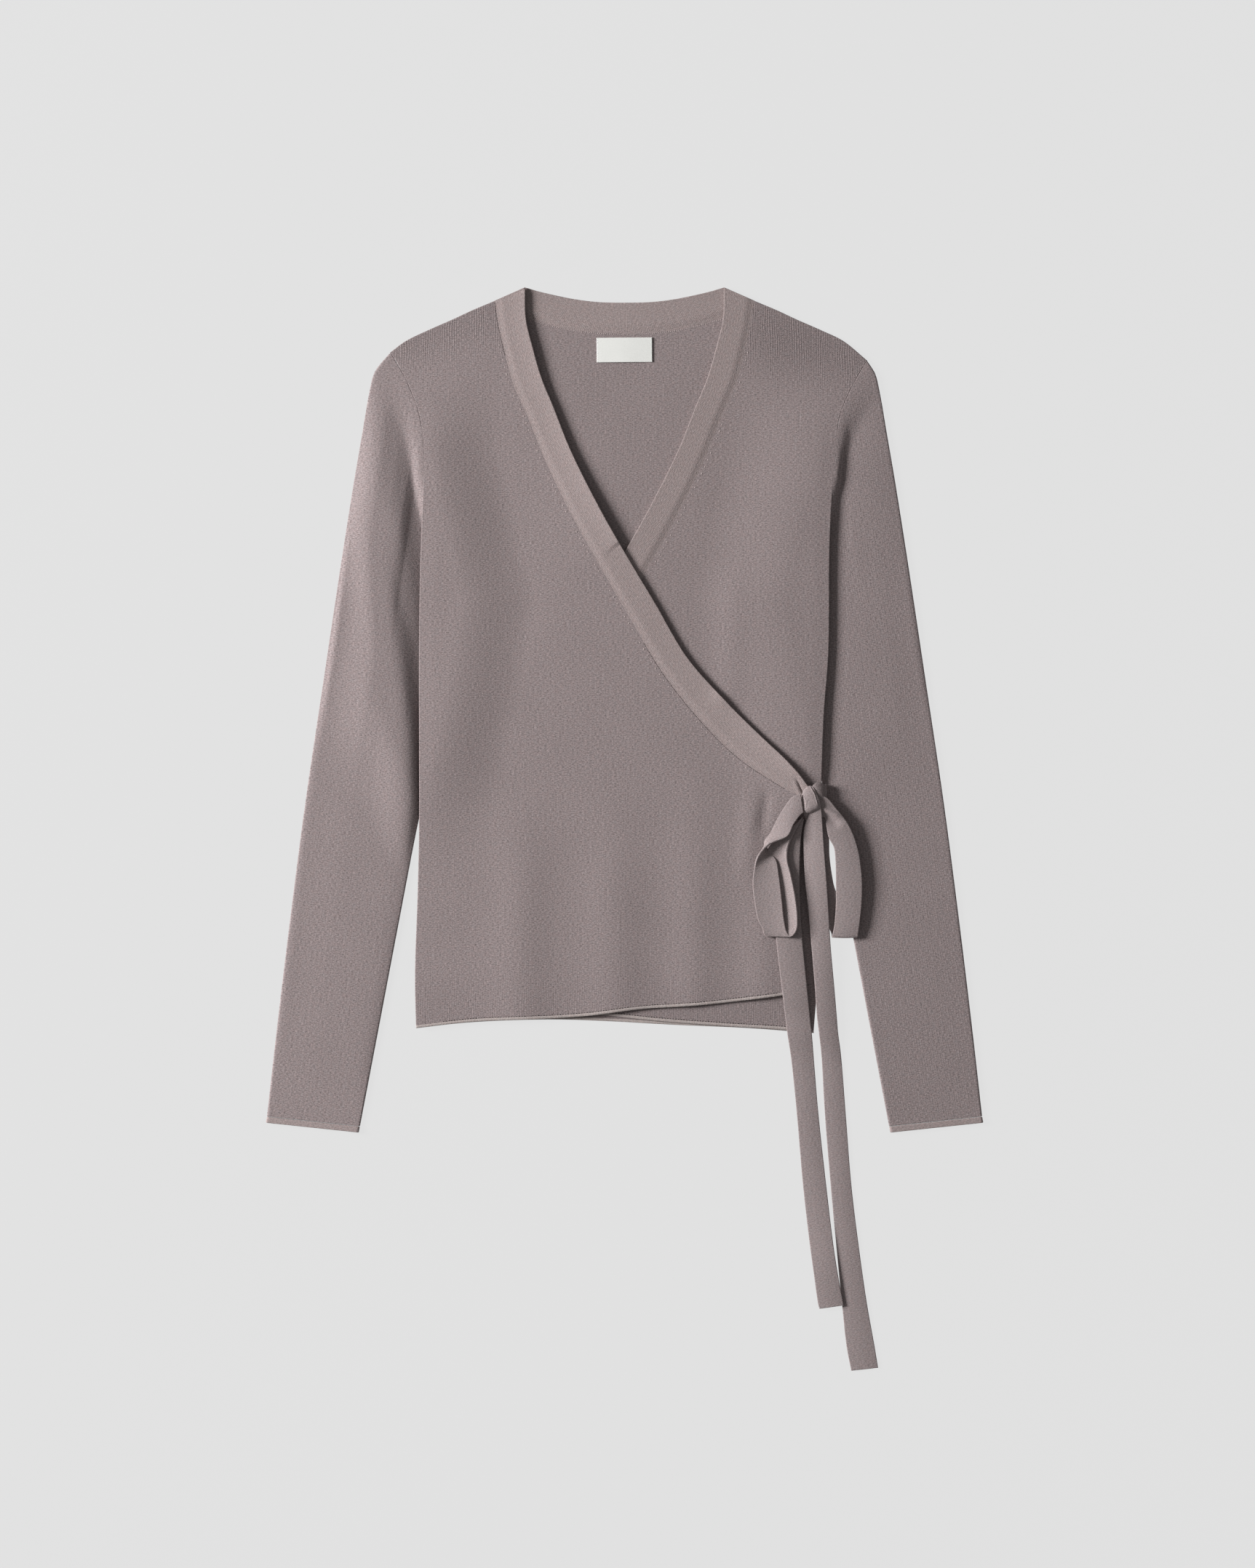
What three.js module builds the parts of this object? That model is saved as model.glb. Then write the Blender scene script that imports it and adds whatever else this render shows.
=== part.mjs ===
// A long-sleeved wrap cardigan in fine heathered knit, laid flat on its back.
// Units are millimetres. +X is to the right across the body, +Y runs to the neck, and +Z
// points up from the surface that the cloth lies on. The wearer's right side lies at -X.
// Every cut and sewn piece is its own closed solid, and seams leave a narrow gap.

import * as THREE from 'three';

// Driving dimensions
const CLOTH = 1.1; // thickness of the single knit
const BAND = 1.9; // thickness of the doubled bands
const TURN_UP = 1.5; // thickness of the turned-up cuffs
const TRIM = 1.2; // thickness of the rolled hem trims
const TIE = 1.6; // thickness of the doubled tie strips
const SEAM = 0.3; // gap between two pieces along a seam
const LAY = 0.4; // gap between two layers that lie on each other
const TUCK = 6.2; // how far a tucked sleeve lifts the side of the body
const ROLL = { height: 1.2, width: 14 }; // how far the very edge of the body rolls down again
const REACH = 100; // how far in from the tucked sleeve the body starts to rise
const OVERLAP = 2.25; // how far the under front lifts the top front
const NECK_RISE = 0.8; // how far the back neck band lifts the front bands
const FOLD = 0.85; // radius of the middle of the cloth at a sleeve's folds
const TRIM_WIDTH = 2.6; // rolled trim along each hem
const CUFF_DEPTH = 5.2; // turn-up at the end of each sleeve
const SLEEVE_SLANT = 0.19; // how far the sleeve's inner fold leans out for each unit down
const SLEEVE_AT_ORIGIN = 168.4; // distance of that fold from the centre line at y = 0
const UNDERARM_Y = 185;
const UNDERARM_X = 133;
const PANEL_ROWS = 24; // grid rows of the body panels, from the shoulder to the hem
const PANEL_COLUMNS = 16;
const KNOT_ROW = 17; // the row where the wrap edge reaches the knot
const SEAM_ROWS = 4; // rows of the armhole seam that show above the tucked sleeve
const ARMHOLE_PARTS = SEAM_ROWS + 2; // the seam rows and the hidden part down to the underarm
const SLEEVE_ROWS = 18;
const SLEEVE_COLUMNS = 12;
const LABEL = { width: 45, depth: 20, thickness: 1.0, y: 388.2, tilt: 0.008 };
const KNOT = { x: 150.7, y: 23, z: 11.6, half: 5.0, around: 20, levels: 7 };

// Where a lift starts and where it is full, in y, in x or from the edge below
const TUCK_TOP = { start: 392, full: 285 };
const TUCK_FOOT = { right: { start: -90, full: 10 }, left: { start: -40, full: 70 } };
const NECK_LIFT = { start: 340, full: 385, outside: 140, inside: 112 };
const OVERLAP_LIFT = { start: -70, full: -32 };
const RIPPLE_FALL = { start: 60, full: -100 };

// How the hollow of each sleeve stands up below the armhole (first value) and further down
// (second value). crest is the share of the way from the outer fold to the body's edge, and
// fall says how late the cloth drops to that edge.
const HOLLOW = {
  right: { height: [5.6, 7.6], crest: [0.34, 0.62], fall: [2.2, 5.5] },
  left: { height: [2.0, 2.0], crest: [0.5, 0.5], fall: [3.0, 3.0] },
};

// Colours of the yarn: body, the lighter bands, the ties and the woven label
const COLOURS = { body: 0x8c7f7d, band: 0x94867f, tie: 0x8a7d7a, label: 0xf3f3ee };

// Wrap band of one front, from the neck point at the shoulder to the knot. The free edge and
// the seam edge are given with +x towards the front's own side of the body.
const WRAP_BAND = [
  { freeX: 80.4, freeY: 438.8, seamX: 104.8, seamY: 428.0 },
  { freeX: 79.6, freeY: 413.0, seamX: 101.9, seamY: 409.0 },
  { freeX: 74.0, freeY: 389.4, seamX: 96.5, seamY: 385.0 },
  { freeX: 67.2, freeY: 365.8, seamX: 90.0, seamY: 361.0 },
  { freeX: 57.5, freeY: 342.2, seamX: 78.5, seamY: 334.5 },
  { freeX: 43.4, freeY: 306.8, seamX: 64.0, seamY: 298.5 },
  { freeX: 19.8, freeY: 259.6, seamX: 39.6, seamY: 248.5 },
  { freeX: 0.5, freeY: 225.4, seamX: 20.2, seamY: 213.8 },
  { freeX: -24.5, freeY: 183.5, seamX: -4.5, seamY: 171.0 },
  { freeX: -51.0, freeY: 138.7, seamX: -33.0, seamY: 124.0 },
  { freeX: -83.5, freeY: 102.1, seamX: -66.0, seamY: 83.3 },
  { freeX: -107.1, freeY: 78.5, seamX: -91.0, seamY: 59.0 },
  { freeX: -130.7, freeY: 56.1, seamX: -118.5, seamY: 40.0 },
  { freeX: -142.2, freeY: 43.4, seamX: -133.0, seamY: 31.5 },
  { freeX: -147.0, freeY: 36.6, seamX: -140.5, seamY: 27.6 },
];

// Back neck band, its upper free edge and its seam, from the centre to the shoulder
const NECK_BAND = [
  { freeX: 0, freeY: 426.6, seamX: 0, seamY: 401.8 },
  { freeX: 22.7, freeY: 427.2, seamX: 24.0, seamY: 402.8 },
  { freeX: 40.4, freeY: 429.4, seamX: 43.0, seamY: 405.0 },
  { freeX: 54.6, freeY: 432.2, seamX: 62.0, seamY: 409.3 },
  { freeX: 70.0, freeY: 435.8, seamX: 84.0, seamY: 416.2 },
  { freeX: 80.0, freeY: 438.8, seamX: 104.8, seamY: 428.0 },
];

// Shoulder line from the band to the armhole, the same on both sides
const SHOULDER = [
  { x: 104.8, y: 428.0 },
  { x: 123.6, y: 420.1 },
  { x: 138.9, y: 413.0 },
  { x: 159.0, y: 404.2 },
  { x: 177.3, y: 395.3 },
];

// Armhole seam and side of the body at -X, from the shoulder to the hem
const SIDE_RIGHT = [
  { x: 189.7, y: 386.2 },
  { x: 183.2, y: 375.8 },
  { x: 172.0, y: 352.8 },
  { x: 165.0, y: 330.4 },
  { x: 162.5, y: 306.8 },
  { x: 163.5, y: 260.0 },
  { x: 165.2, y: 212.4 },
  { x: 166.1, y: 141.6 },
  { x: 166.1, y: 13.0 },
  { x: 167.3, y: -47.2 },
  { x: 169.6, y: -118.0 },
  { x: 169.6, y: -156.5 },
];

// Armhole seam and side of the body at +X
const SIDE_LEFT = [
  { x: 196.4, y: 379.6 },
  { x: 190.6, y: 369.9 },
  { x: 180.6, y: 351.0 },
  { x: 174.0, y: 333.4 },
  { x: 170.6, y: 306.8 },
  { x: 167.9, y: 271.4 },
  { x: 165.9, y: 230.0 },
  { x: 164.9, y: 141.6 },
  { x: 161.4, y: 94.4 },
  { x: 159.4, y: 40.0 },
  { x: 158.2, y: -35.4 },
  { x: 155.6, y: -129.8 },
  { x: 153.6, y: -160.6 },
];

// Lower edges, with +x towards the front's own side. The top front rises towards its free
// corner, and the under front hangs a little lower.
const HEM_RIGHT = [
  { x: 168.8, y: -161.1 },
  { x: 123.0, y: -156.0 },
  { x: 58.1, y: -153.1 },
  { x: 28.6, y: -151.0 },
  { x: -12.0, y: -145.8 },
  { x: -59.9, y: -142.6 },
  { x: -107.1, y: -137.4 },
  { x: -137.8, y: -133.3 },
];
const HEM_LEFT = [
  { x: 153.2, y: -165.2 },
  { x: 131.3, y: -162.6 },
  { x: 83.5, y: -159.6 },
  { x: 24.5, y: -155.2 },
  { x: -16.8, y: -150.5 },
  { x: -70.0, y: -144.5 },
  { x: -137.8, y: -137.0 },
];
const HEM_BACK = [
  { x: -168.8, y: -161.1 },
  { x: -123.0, y: -156.4 },
  { x: -58.1, y: -154.2 },
  { x: -9.1, y: -155.8 },
  { x: 35.7, y: -158.3 },
  { x: 100.0, y: -161.2 },
  { x: 153.2, y: -165.2 },
];

// Outer fold of a sleeve from below the shoulder to the cuff, and its inner fold
const SLEEVE_OUTER = [
  { x: 200.0, y: 374.0 },
  { x: 202.9, y: 368.8 },
  { x: 207.0, y: 351.0 },
  { x: 211.5, y: 324.5 },
  { x: 218.6, y: 283.2 },
  { x: 229.8, y: 212.4 },
  { x: 244.0, y: 118.0 },
  { x: 258.1, y: 23.6 },
  { x: 270.5, y: -70.8 },
  { x: 281.7, y: -162.8 },
  { x: 289.6, y: -232.6 },
];
const SLEEVE_INNER = [
  { x: UNDERARM_X, y: UNDERARM_Y },
  { x: 150.4, y: 95.0 },
  { x: SLEEVE_AT_ORIGIN, y: 0 },
  { x: 182.0, y: -70.8 },
  { x: 199.4, y: -162.8 },
  { x: 214.2, y: -240.6 },
];

// Soft upright ripples in the lower part of the top front: place at the hem and height
const RIPPLES = [
  { x: -84.0, height: 1.6, spread: 15 },
  { x: -8.0, height: 1.8, spread: 16 },
  { x: 56.0, height: 1.3, spread: 13 },
  { x: 113.0, height: 1.3, spread: 12 },
];

// Bow loop on the body side of the knot. Edge a and edge b are the two long edges of the tie,
// measured from the knot, with heights from the surface. It twists once, folds at its foot
// and comes back standing on its edge.
const LOOP_INNER = [
  { ax: -8.4, ay: 5.2, az: 13.8, bx: -6.4, by: -9.6, bz: 14.6 },
  { ax: -14.6, ay: 3.6, az: 13.6, bx: -9.0, by: -11.6, bz: 14.9 },
  { ax: -24.8, ay: -10.0, az: 12.2, bx: -14.2, by: -18.9, bz: 15.4 },
  { ax: -33.0, ay: -26.0, az: 10.4, bx: -18.9, by: -28.3, bz: 16.0 },
  { ax: -37.4, ay: -35.2, az: 9.0, bx: -28.9, by: -34.8, bz: 17.2 },
  { ax: -33.6, ay: -41.5, az: 8.8, bx: -40.7, by: -44.3, bz: 16.0 },
  { ax: -28.3, ay: -47.8, az: 9.8, bx: -45.4, by: -53.7, bz: 12.2 },
  { ax: -25.4, ay: -62.4, az: 11.4, bx: -47.2, by: -67.3, bz: 8.8 },
  { ax: -23.0, ay: -82.0, az: 12.4, bx: -45.4, by: -83.8, bz: 7.2 },
  { ax: -21.2, ay: -97.4, az: 13.0, bx: -41.9, by: -98.5, bz: 7.0 },
  { ax: -18.9, ay: -107.0, az: 13.6, bx: -34.2, by: -107.6, bz: 7.6 },
  { ax: -15.6, ay: -109.0, az: 14.0, bx: -25.4, by: -109.6, bz: 8.4 },
  { ax: -12.2, ay: -105.2, az: 14.4, bx: -19.6, by: -106.0, bz: 8.6 },
  { ax: -10.8, ay: -96.2, az: 14.8, bx: -17.6, by: -96.2, bz: 8.6 },
  { ax: -13.0, ay: -80.8, az: 14.8, bx: -18.4, by: -80.8, bz: 9.2 },
  { ax: -15.9, ay: -63.1, az: 14.4, bx: -20.0, by: -63.1, bz: 10.2 },
  { ax: -18.3, ay: -47.8, az: 13.8, bx: -20.8, by: -47.8, bz: 11.2 },
  { ax: -17.6, ay: -34.8, az: 13.0, bx: -18.8, by: -35.4, bz: 11.6 },
  { ax: -11.6, ay: -22.0, az: 12.4, bx: -13.6, by: -23.6, bz: 12.0 },
  { ax: -6.2, ay: -12.8, az: 12.0, bx: -8.6, by: -14.8, bz: 12.0 },
];

// Bow loop on the sleeve side of the knot. It lies flat, folds under at its foot and comes
// back beneath the long tail.
const LOOP_OUTER = [
  { ax: 8.8, ay: 3.2, az: 12.8, bx: 8.8, by: -6.6, bz: 12.4 },
  { ax: 13.6, ay: 0.0, az: 13.0, bx: 11.0, by: -8.8, bz: 12.6 },
  { ax: 21.2, ay: -8.3, az: 13.8, bx: 12.4, by: -13.0, bz: 12.9 },
  { ax: 28.9, ay: -17.1, az: 14.2, bx: 13.2, by: -21.8, bz: 13.0 },
  { ax: 34.2, ay: -28.9, az: 14.6, bx: 15.2, by: -32.4, bz: 13.2 },
  { ax: 38.9, ay: -43.7, az: 14.4, bx: 19.0, by: -46.6, bz: 13.0 },
  { ax: 41.3, ay: -64.3, az: 13.6, bx: 20.1, by: -64.3, bz: 12.6 },
  { ax: 40.7, ay: -85.0, az: 12.0, bx: 20.1, by: -85.0, bz: 11.6 },
  { ax: 38.9, ay: -102.6, az: 9.6, bx: 18.6, by: -102.6, bz: 9.6 },
  { ax: 37.8, ay: -109.6, az: 7.2, bx: 16.9, by: -109.6, bz: 7.2 },
  { ax: 37.0, ay: -107.2, az: 4.8, bx: 16.8, by: -107.8, bz: 4.8 },
  { ax: 33.6, ay: -98.4, az: 4.4, bx: 13.6, by: -100.4, bz: 4.6 },
  { ax: 25.4, ay: -82.6, az: 4.6, bx: 7.4, by: -85.2, bz: 4.8 },
  { ax: 19.6, ay: -71.4, az: 5.2, bx: 3.8, by: -73.6, bz: 5.4 },
  { ax: 16.8, ay: -58.4, az: 6.2, bx: 2.4, by: -60.2, bz: 6.4 },
  { ax: 14.8, ay: -43.7, az: 7.4, bx: 1.4, by: -45.4, bz: 7.6 },
  { ax: 13.4, ay: -28.9, az: 8.0, bx: 0.8, by: -30.1, bz: 8.2 },
  { ax: 9.4, ay: -12.8, az: 8.8, bx: 0.2, by: -14.6, bz: 8.8 },
];

// Long tail of the tie, its edges towards the body (a) and towards the sleeve (b)
const TAIL_LONG = [
  { ax: 146.8, ay: 10.6, az: 11.2, bx: 158.8, by: 14.6, bz: 11.4 },
  { ax: 145.2, ay: 1.6, az: 10.8, bx: 160.4, by: 3.0, bz: 11.0 },
  { ax: 145.8, ay: -11.8, az: 10.2, bx: 161.4, by: -14.8, bz: 10.2 },
  { ax: 147.8, ay: -35.4, az: 9.4, bx: 163.1, by: -38.4, bz: 9.4 },
  { ax: 150.2, ay: -64.9, az: 7.8, bx: 164.9, by: -64.9, bz: 7.8 },
  { ax: 152.0, ay: -94.4, az: 5.8, bx: 166.7, by: -94.4, bz: 5.8 },
  { ax: 153.7, ay: -123.9, az: 4.6, bx: 169.4, by: -123.9, bz: 3.4 },
  { ax: 155.6, ay: -150.5, az: 4.4, bx: 171.7, by: -150.5, bz: 2.4 },
  { ax: 157.2, ay: -164.0, az: 3.6, bx: 172.8, by: -164.0, bz: 1.8 },
  { ax: 159.4, ay: -182.9, az: 1.4, bx: 175.3, by: -182.9, bz: 1.0 },
  { ax: 162.2, ay: -230.1, az: 0.8, bx: 179.1, by: -230.1, bz: 0.8 },
  { ax: 167.0, ay: -289.1, az: 0.8, bx: 183.8, by: -289.1, bz: 0.8 },
  { ax: 171.4, ay: -336.3, az: 0.8, bx: 189.5, by: -336.3, bz: 0.8 },
  { ax: 176.0, ay: -383.5, az: 0.8, bx: 196.2, by: -383.5, bz: 0.8 },
  { ax: 179.8, ay: -418.9, az: 0.8, bx: 202.5, by: -418.9, bz: 0.8 },
  { ax: 183.6, ay: -438.8, az: 0.8, bx: 205.4, by: -436.4, bz: 0.8 },
];

// Short tail of the tie. Its end lies over the long tail.
const TAIL_SHORT = [
  { ax: 137.6, ay: 6.4, az: 9.4, bx: 145.0, by: 8.6, bz: 9.4 },
  { ax: 130.7, ay: -5.9, az: 9.4, bx: 142.6, by: -5.9, bz: 9.4 },
  { ax: 124.2, ay: -35.4, az: 8.8, bx: 141.4, by: -35.4, bz: 8.9 },
  { ax: 121.8, ay: -64.9, az: 7.2, bx: 141.9, by: -64.9, bz: 7.0 },
  { ax: 122.6, ay: -88.5, az: 6.95, bx: 143.7, by: -88.5, bz: 6.6 },
  { ax: 125.8, ay: -118.0, az: 7.1, bx: 146.6, by: -118.0, bz: 6.5 },
  { ax: 128.0, ay: -136.0, az: 6.9, bx: 148.4, by: -136.0, bz: 6.3 },
  { ax: 129.8, ay: -150.5, az: 5.2, bx: 149.9, by: -150.5, bz: 5.0 },
  { ax: 131.8, ay: -166.0, az: 4.2, bx: 151.6, by: -166.0, bz: 4.2 },
  { ax: 134.8, ay: -184.9, az: 1.6, bx: 153.2, by: -184.9, bz: 1.6 },
  { ax: 139.5, ay: -230.1, az: 0.8, bx: 157.0, by: -230.1, bz: 0.8 },
  { ax: 144.6, ay: -289.1, az: 0.8, bx: 163.4, by: -289.1, bz: 1.2 },
  { ax: 150.0, ay: -336.3, az: 1.8, bx: 169.0, by: -336.3, bz: 3.0 },
  { ax: 153.2, ay: -359.9, az: 2.6, bx: 172.6, by: -359.9, bz: 3.2 },
  { ax: 156.8, ay: -385.0, az: 2.8, bx: 176.9, by: -383.0, bz: 3.0 },
  { ax: 157.8, ay: -388.4, az: 2.8, bx: 177.4, by: -385.6, bz: 3.0 },
];

// Strap of the other front's tie, from the side seam to the knot
const REAR_STRAP = [
  { ax: 160.6, ay: 37.0, az: 4.0, bx: 160.4, by: 22.4, bz: 4.0 },
  { ax: 160.9, ay: 37.6, az: 6.4, bx: 160.7, by: 21.8, bz: 6.4 },
  { ax: 160.0, ay: 38.0, az: 8.6, bx: 160.4, by: 22.2, bz: 8.6 },
  { ax: 157.2, ay: 37.8, az: 9.8, bx: 160.0, by: 23.4, bz: 9.6 },
  { ax: 152.5, ay: 34.9, az: 10.4, bx: 158.0, by: 27.2, bz: 10.2 },
];

// Outline of the knot seen from above, measured from its middle
const KNOT_OUTLINE = [
  { x: 7.6, y: -1.8 },
  { x: 6.6, y: 3.2 },
  { x: 3.6, y: 8.6 },
  { x: -0.8, y: 11.6 },
  { x: -4.2, y: 8.6 },
  { x: -7.0, y: 4.4 },
  { x: -6.8, y: -2.4 },
  { x: -4.8, y: -9.6 },
  { x: 0.6, y: -10.0 },
  { x: 5.8, y: -7.2 },
];

// Numbers that rise smoothly from 0 to 1 between two places
function ease(from, to, value) {
  const t = THREE.MathUtils.clamp((value - from) / (to - from), 0, 1);
  return t * t * (3 - 2 * t);
}

// Straight interpolation in a table whose key column falls from row to row
function lookup(rows, key, column, value) {
  const next = rows.findIndex((row) => row[key] <= value);
  if (next === 0) return rows[0][column];
  if (next < 0) return rows[rows.length - 1][column];
  const above = rows[next - 1];
  const below = rows[next];
  const t = (above[key] - value) / (above[key] - below[key]);
  return THREE.MathUtils.lerp(above[column], below[column], t);
}

// A smooth line in plan through table rows, read by its share of the length
function line(rows, xColumn = 'x', yColumn = 'y', sign = 1) {
  const points = rows.map((row) => new THREE.Vector3(sign * row[xColumn], row[yColumn], 0));
  const curve = new THREE.CatmullRomCurve3(points, false, 'centripetal');
  return (share) => curve.getPointAt(THREE.MathUtils.clamp(share, 0, 1));
}

// Several lines end to end, each taking its own share of the whole
function chain(parts) {
  return (share) => {
    let start = 0;
    for (const [curve, end] of parts) {
      if (share <= end + 1e-9) return curve((share - start) / (end - start));
      start = end;
    }
    return parts[parts.length - 1][0](1);
  };
}

function straight(from, to) {
  return (share) => from.clone().lerp(to, share);
}

// Distance from the centre line of a sleeve's inner fold, where it hides below the body
function tuckedFold(y) {
  if (y <= UNDERARM_Y) return SLEEVE_AT_ORIGIN - SLEEVE_SLANT * y;
  const seamStart = SIDE_RIGHT[4];
  const share = Math.min(1, (y - UNDERARM_Y) / (seamStart.y - UNDERARM_Y));
  return THREE.MathUtils.lerp(UNDERARM_X, seamStart.x, share);
}

// Rise of the body's side margins over the tucked sleeves. It is wide and gentle, and the
// very edge rolls down again.
function tuckLift(x, y) {
  const out = Math.abs(x);
  const fold = tuckedFold(y);
  const edge = lookup(x < 0 ? SIDE_RIGHT : SIDE_LEFT, 'y', 'x', y);
  const foot = x < 0 ? TUCK_FOOT.right : TUCK_FOOT.left;
  const rise = TUCK * ease(fold - REACH, fold - 2, out);
  const roll = ROLL.height * ease(edge - ROLL.width, edge + 4, out);
  return (rise - roll) * ease(TUCK_TOP.start, TUCK_TOP.full, y) * ease(foot.start, foot.full, y);
}

// Rise of the top front over the under front, whose free edge runs down to -X
function overlapLift(x, y) {
  const edge = lookup(WRAP_BAND, 'freeY', 'freeX', y);
  return OVERLAP * ease(OVERLAP_LIFT.start, OVERLAP_LIFT.full, x - edge);
}

function neckLift(x, y) {
  const inside = ease(NECK_LIFT.outside, NECK_LIFT.inside, Math.abs(x));
  return NECK_RISE * ease(NECK_LIFT.start, NECK_LIFT.full, y) * inside;
}

function ripple(x, y) {
  const fall = ease(RIPPLE_FALL.start, RIPPLE_FALL.full, y);
  const rise = (r) => r.height * Math.exp(-0.5 * ((x - r.x) / r.spread) ** 2);
  return fall * RIPPLES.reduce((sum, r) => sum + rise(r), 0);
}

// Heights of the middle of the cloth for each body panel
const heightBack = (x, y) => CLOTH / 2 + tuckLift(x, y);
const heightUnder = (x, y) => 1.5 * CLOTH + LAY + tuckLift(x, y) + neckLift(x, y);
const heightTop = (x, y) => heightUnder(x, y) + overlapLift(x, y) + ripple(x, y);

// A closed wall from a grid of points in the middle of the cloth, rows by columns. A wall
// that closes round, such as a sleeve, joins its last column to its first.
function wall(grid, thickness, round = false) {
  const rows = grid.length;
  const columns = grid[0].length;
  const step = (r, c, dr, dc) => {
    const row = THREE.MathUtils.clamp(r + dr, 0, rows - 1);
    const column = round ? (c + dc + columns) % columns : THREE.MathUtils.clamp(c + dc, 0, columns - 1);
    return grid[row][column];
  };
  const positions = [];
  for (const side of [1, -1]) {
    for (let r = 0; r < rows; r += 1) {
      for (let c = 0; c < columns; c += 1) {
        const across = step(r, c, 0, 1).clone().sub(step(r, c, 0, -1));
        const along = step(r, c, 1, 0).clone().sub(step(r, c, -1, 0));
        const normal = across.cross(along).normalize();
        const point = grid[r][c].clone().addScaledVector(normal, (side * thickness) / 2);
        positions.push(point.x, point.y, point.z);
      }
    }
  }
  const half = rows * columns;
  const index = [];
  const quad = (a, b, c, d) => index.push(a, b, c, a, c, d);
  const at = (r, c) => r * columns + (c % columns);
  const lastColumn = round ? columns : columns - 1;
  for (let r = 0; r < rows - 1; r += 1) {
    for (let c = 0; c < lastColumn; c += 1) {
      quad(at(r, c), at(r + 1, c), at(r + 1, c + 1), at(r, c + 1));
      quad(half + at(r, c), half + at(r, c + 1), half + at(r + 1, c + 1), half + at(r + 1, c));
    }
  }
  for (let c = 0; c < lastColumn; c += 1) {
    quad(at(0, c), at(0, c + 1), half + at(0, c + 1), half + at(0, c));
    const end = rows - 1;
    quad(at(end, c + 1), at(end, c), half + at(end, c), half + at(end, c + 1));
  }
  if (!round) {
    for (let r = 0; r < rows - 1; r += 1) {
      const end = columns - 1;
      quad(at(r + 1, 0), at(r, 0), half + at(r, 0), half + at(r + 1, 0));
      quad(at(r, end), at(r + 1, end), half + at(r + 1, end), half + at(r, end));
    }
  }
  return outward(positions, index);
}

// A geometry whose faces point outwards, judged by the sign of its volume
function outward(positions, index) {
  let volume = 0;
  const corner = (i) => new THREE.Vector3().fromArray(positions, 3 * i);
  for (let i = 0; i < index.length; i += 3) {
    const [a, b, c] = [corner(index[i]), corner(index[i + 1]), corner(index[i + 2])];
    volume += a.dot(b.cross(c));
  }
  if (volume < 0) index.reverse();
  const geometry = new THREE.BufferGeometry();
  geometry.setAttribute('position', new THREE.Float32BufferAttribute(positions, 3));
  geometry.setIndex(index);
  geometry.computeVertexNormals();
  return geometry;
}

// A body panel spread between four border lines, then raised to its layer
function panel(top, hem, inner, outer, height) {
  const grid = [];
  for (let r = 0; r <= PANEL_ROWS; r += 1) {
    const v = r / PANEL_ROWS;
    const row = [];
    for (let c = 0; c <= PANEL_COLUMNS; c += 1) {
      const u = c / PANEL_COLUMNS;
      const point = top(u).multiplyScalar(1 - v).addScaledVector(hem(u), v);
      point.addScaledVector(inner(v), 1 - u).addScaledVector(outer(v), u);
      point.addScaledVector(inner(0), -(1 - u) * (1 - v)).addScaledVector(outer(0), -u * (1 - v));
      point.addScaledVector(inner(1), -(1 - u) * v).addScaledVector(outer(1), -u * v);
      point.z = height(point.x, point.y);
      row.push(point);
    }
    grid.push(row);
  }
  return wall(grid, CLOTH);
}

// A strip between two rails, each a function of the share of the length, in some steps
function strip(railA, railB, shares, thickness, across = 2) {
  const grid = shares.map((share) => {
    const row = [];
    for (let c = 0; c <= across; c += 1) row.push(railA(share).lerp(railB(share), c / across));
    return row;
  });
  return wall(grid, thickness);
}

function shares(count, from = 0, to = 1) {
  return Array.from({ length: count + 1 }, (_, i) => from + ((to - from) * i) / count);
}

// A tie strip from a table of its two edges, measured from a place in plan
function tieStrip(rows, steps, x = 0, y = 0) {
  const rail = (edge) => {
    const points = rows.map(
      (row) => new THREE.Vector3(x + row[`${edge}x`], y + row[`${edge}y`], row[`${edge}z`]),
    );
    const curve = new THREE.CatmullRomCurve3(points, false, 'centripetal');
    return (share) => {
      const point = curve.getPoint(share);
      point.z = Math.max(point.z, TIE / 2);
      return point;
    };
  };
  return strip(rail('a'), rail('b'), shares(steps), TIE);
}

// Moves a point of a line sideways in plan, to its right when seen along the line
function beside(curve, share, distance) {
  const before = curve(Math.max(0, share - 0.004));
  const after = curve(Math.min(1, share + 0.004));
  const along = after.sub(before).normalize();
  const point = curve(share);
  point.x += along.y * distance;
  point.y -= along.x * distance;
  return point;
}

const cardigan = new THREE.Group();

function add(name, geometry, colour, roughness = 0.95) {
  const material = new THREE.MeshStandardMaterial({ color: colour, roughness, metalness: 0 });
  const mesh = new THREE.Mesh(geometry, material);
  mesh.name = name;
  cardigan.add(mesh);
}

const mirrored = (rows) => rows.map((row) => ({ ...row, x: -row.x }));
const raised = (curve, height) => (share) => {
  const point = curve(share);
  point.z = height(point.x, point.y);
  return point;
};

// The border lines of the two sides of the body. side is +1 at +X and -1 at -X.
const sides = [
  { word: 'right', side: -1, edge: SIDE_RIGHT, hem: HEM_RIGHT, height: heightTop },
  { word: 'left', side: 1, edge: SIDE_LEFT, hem: HEM_LEFT, height: heightUnder },
];
const knotShare = KNOT_ROW / PANEL_ROWS;

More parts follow.
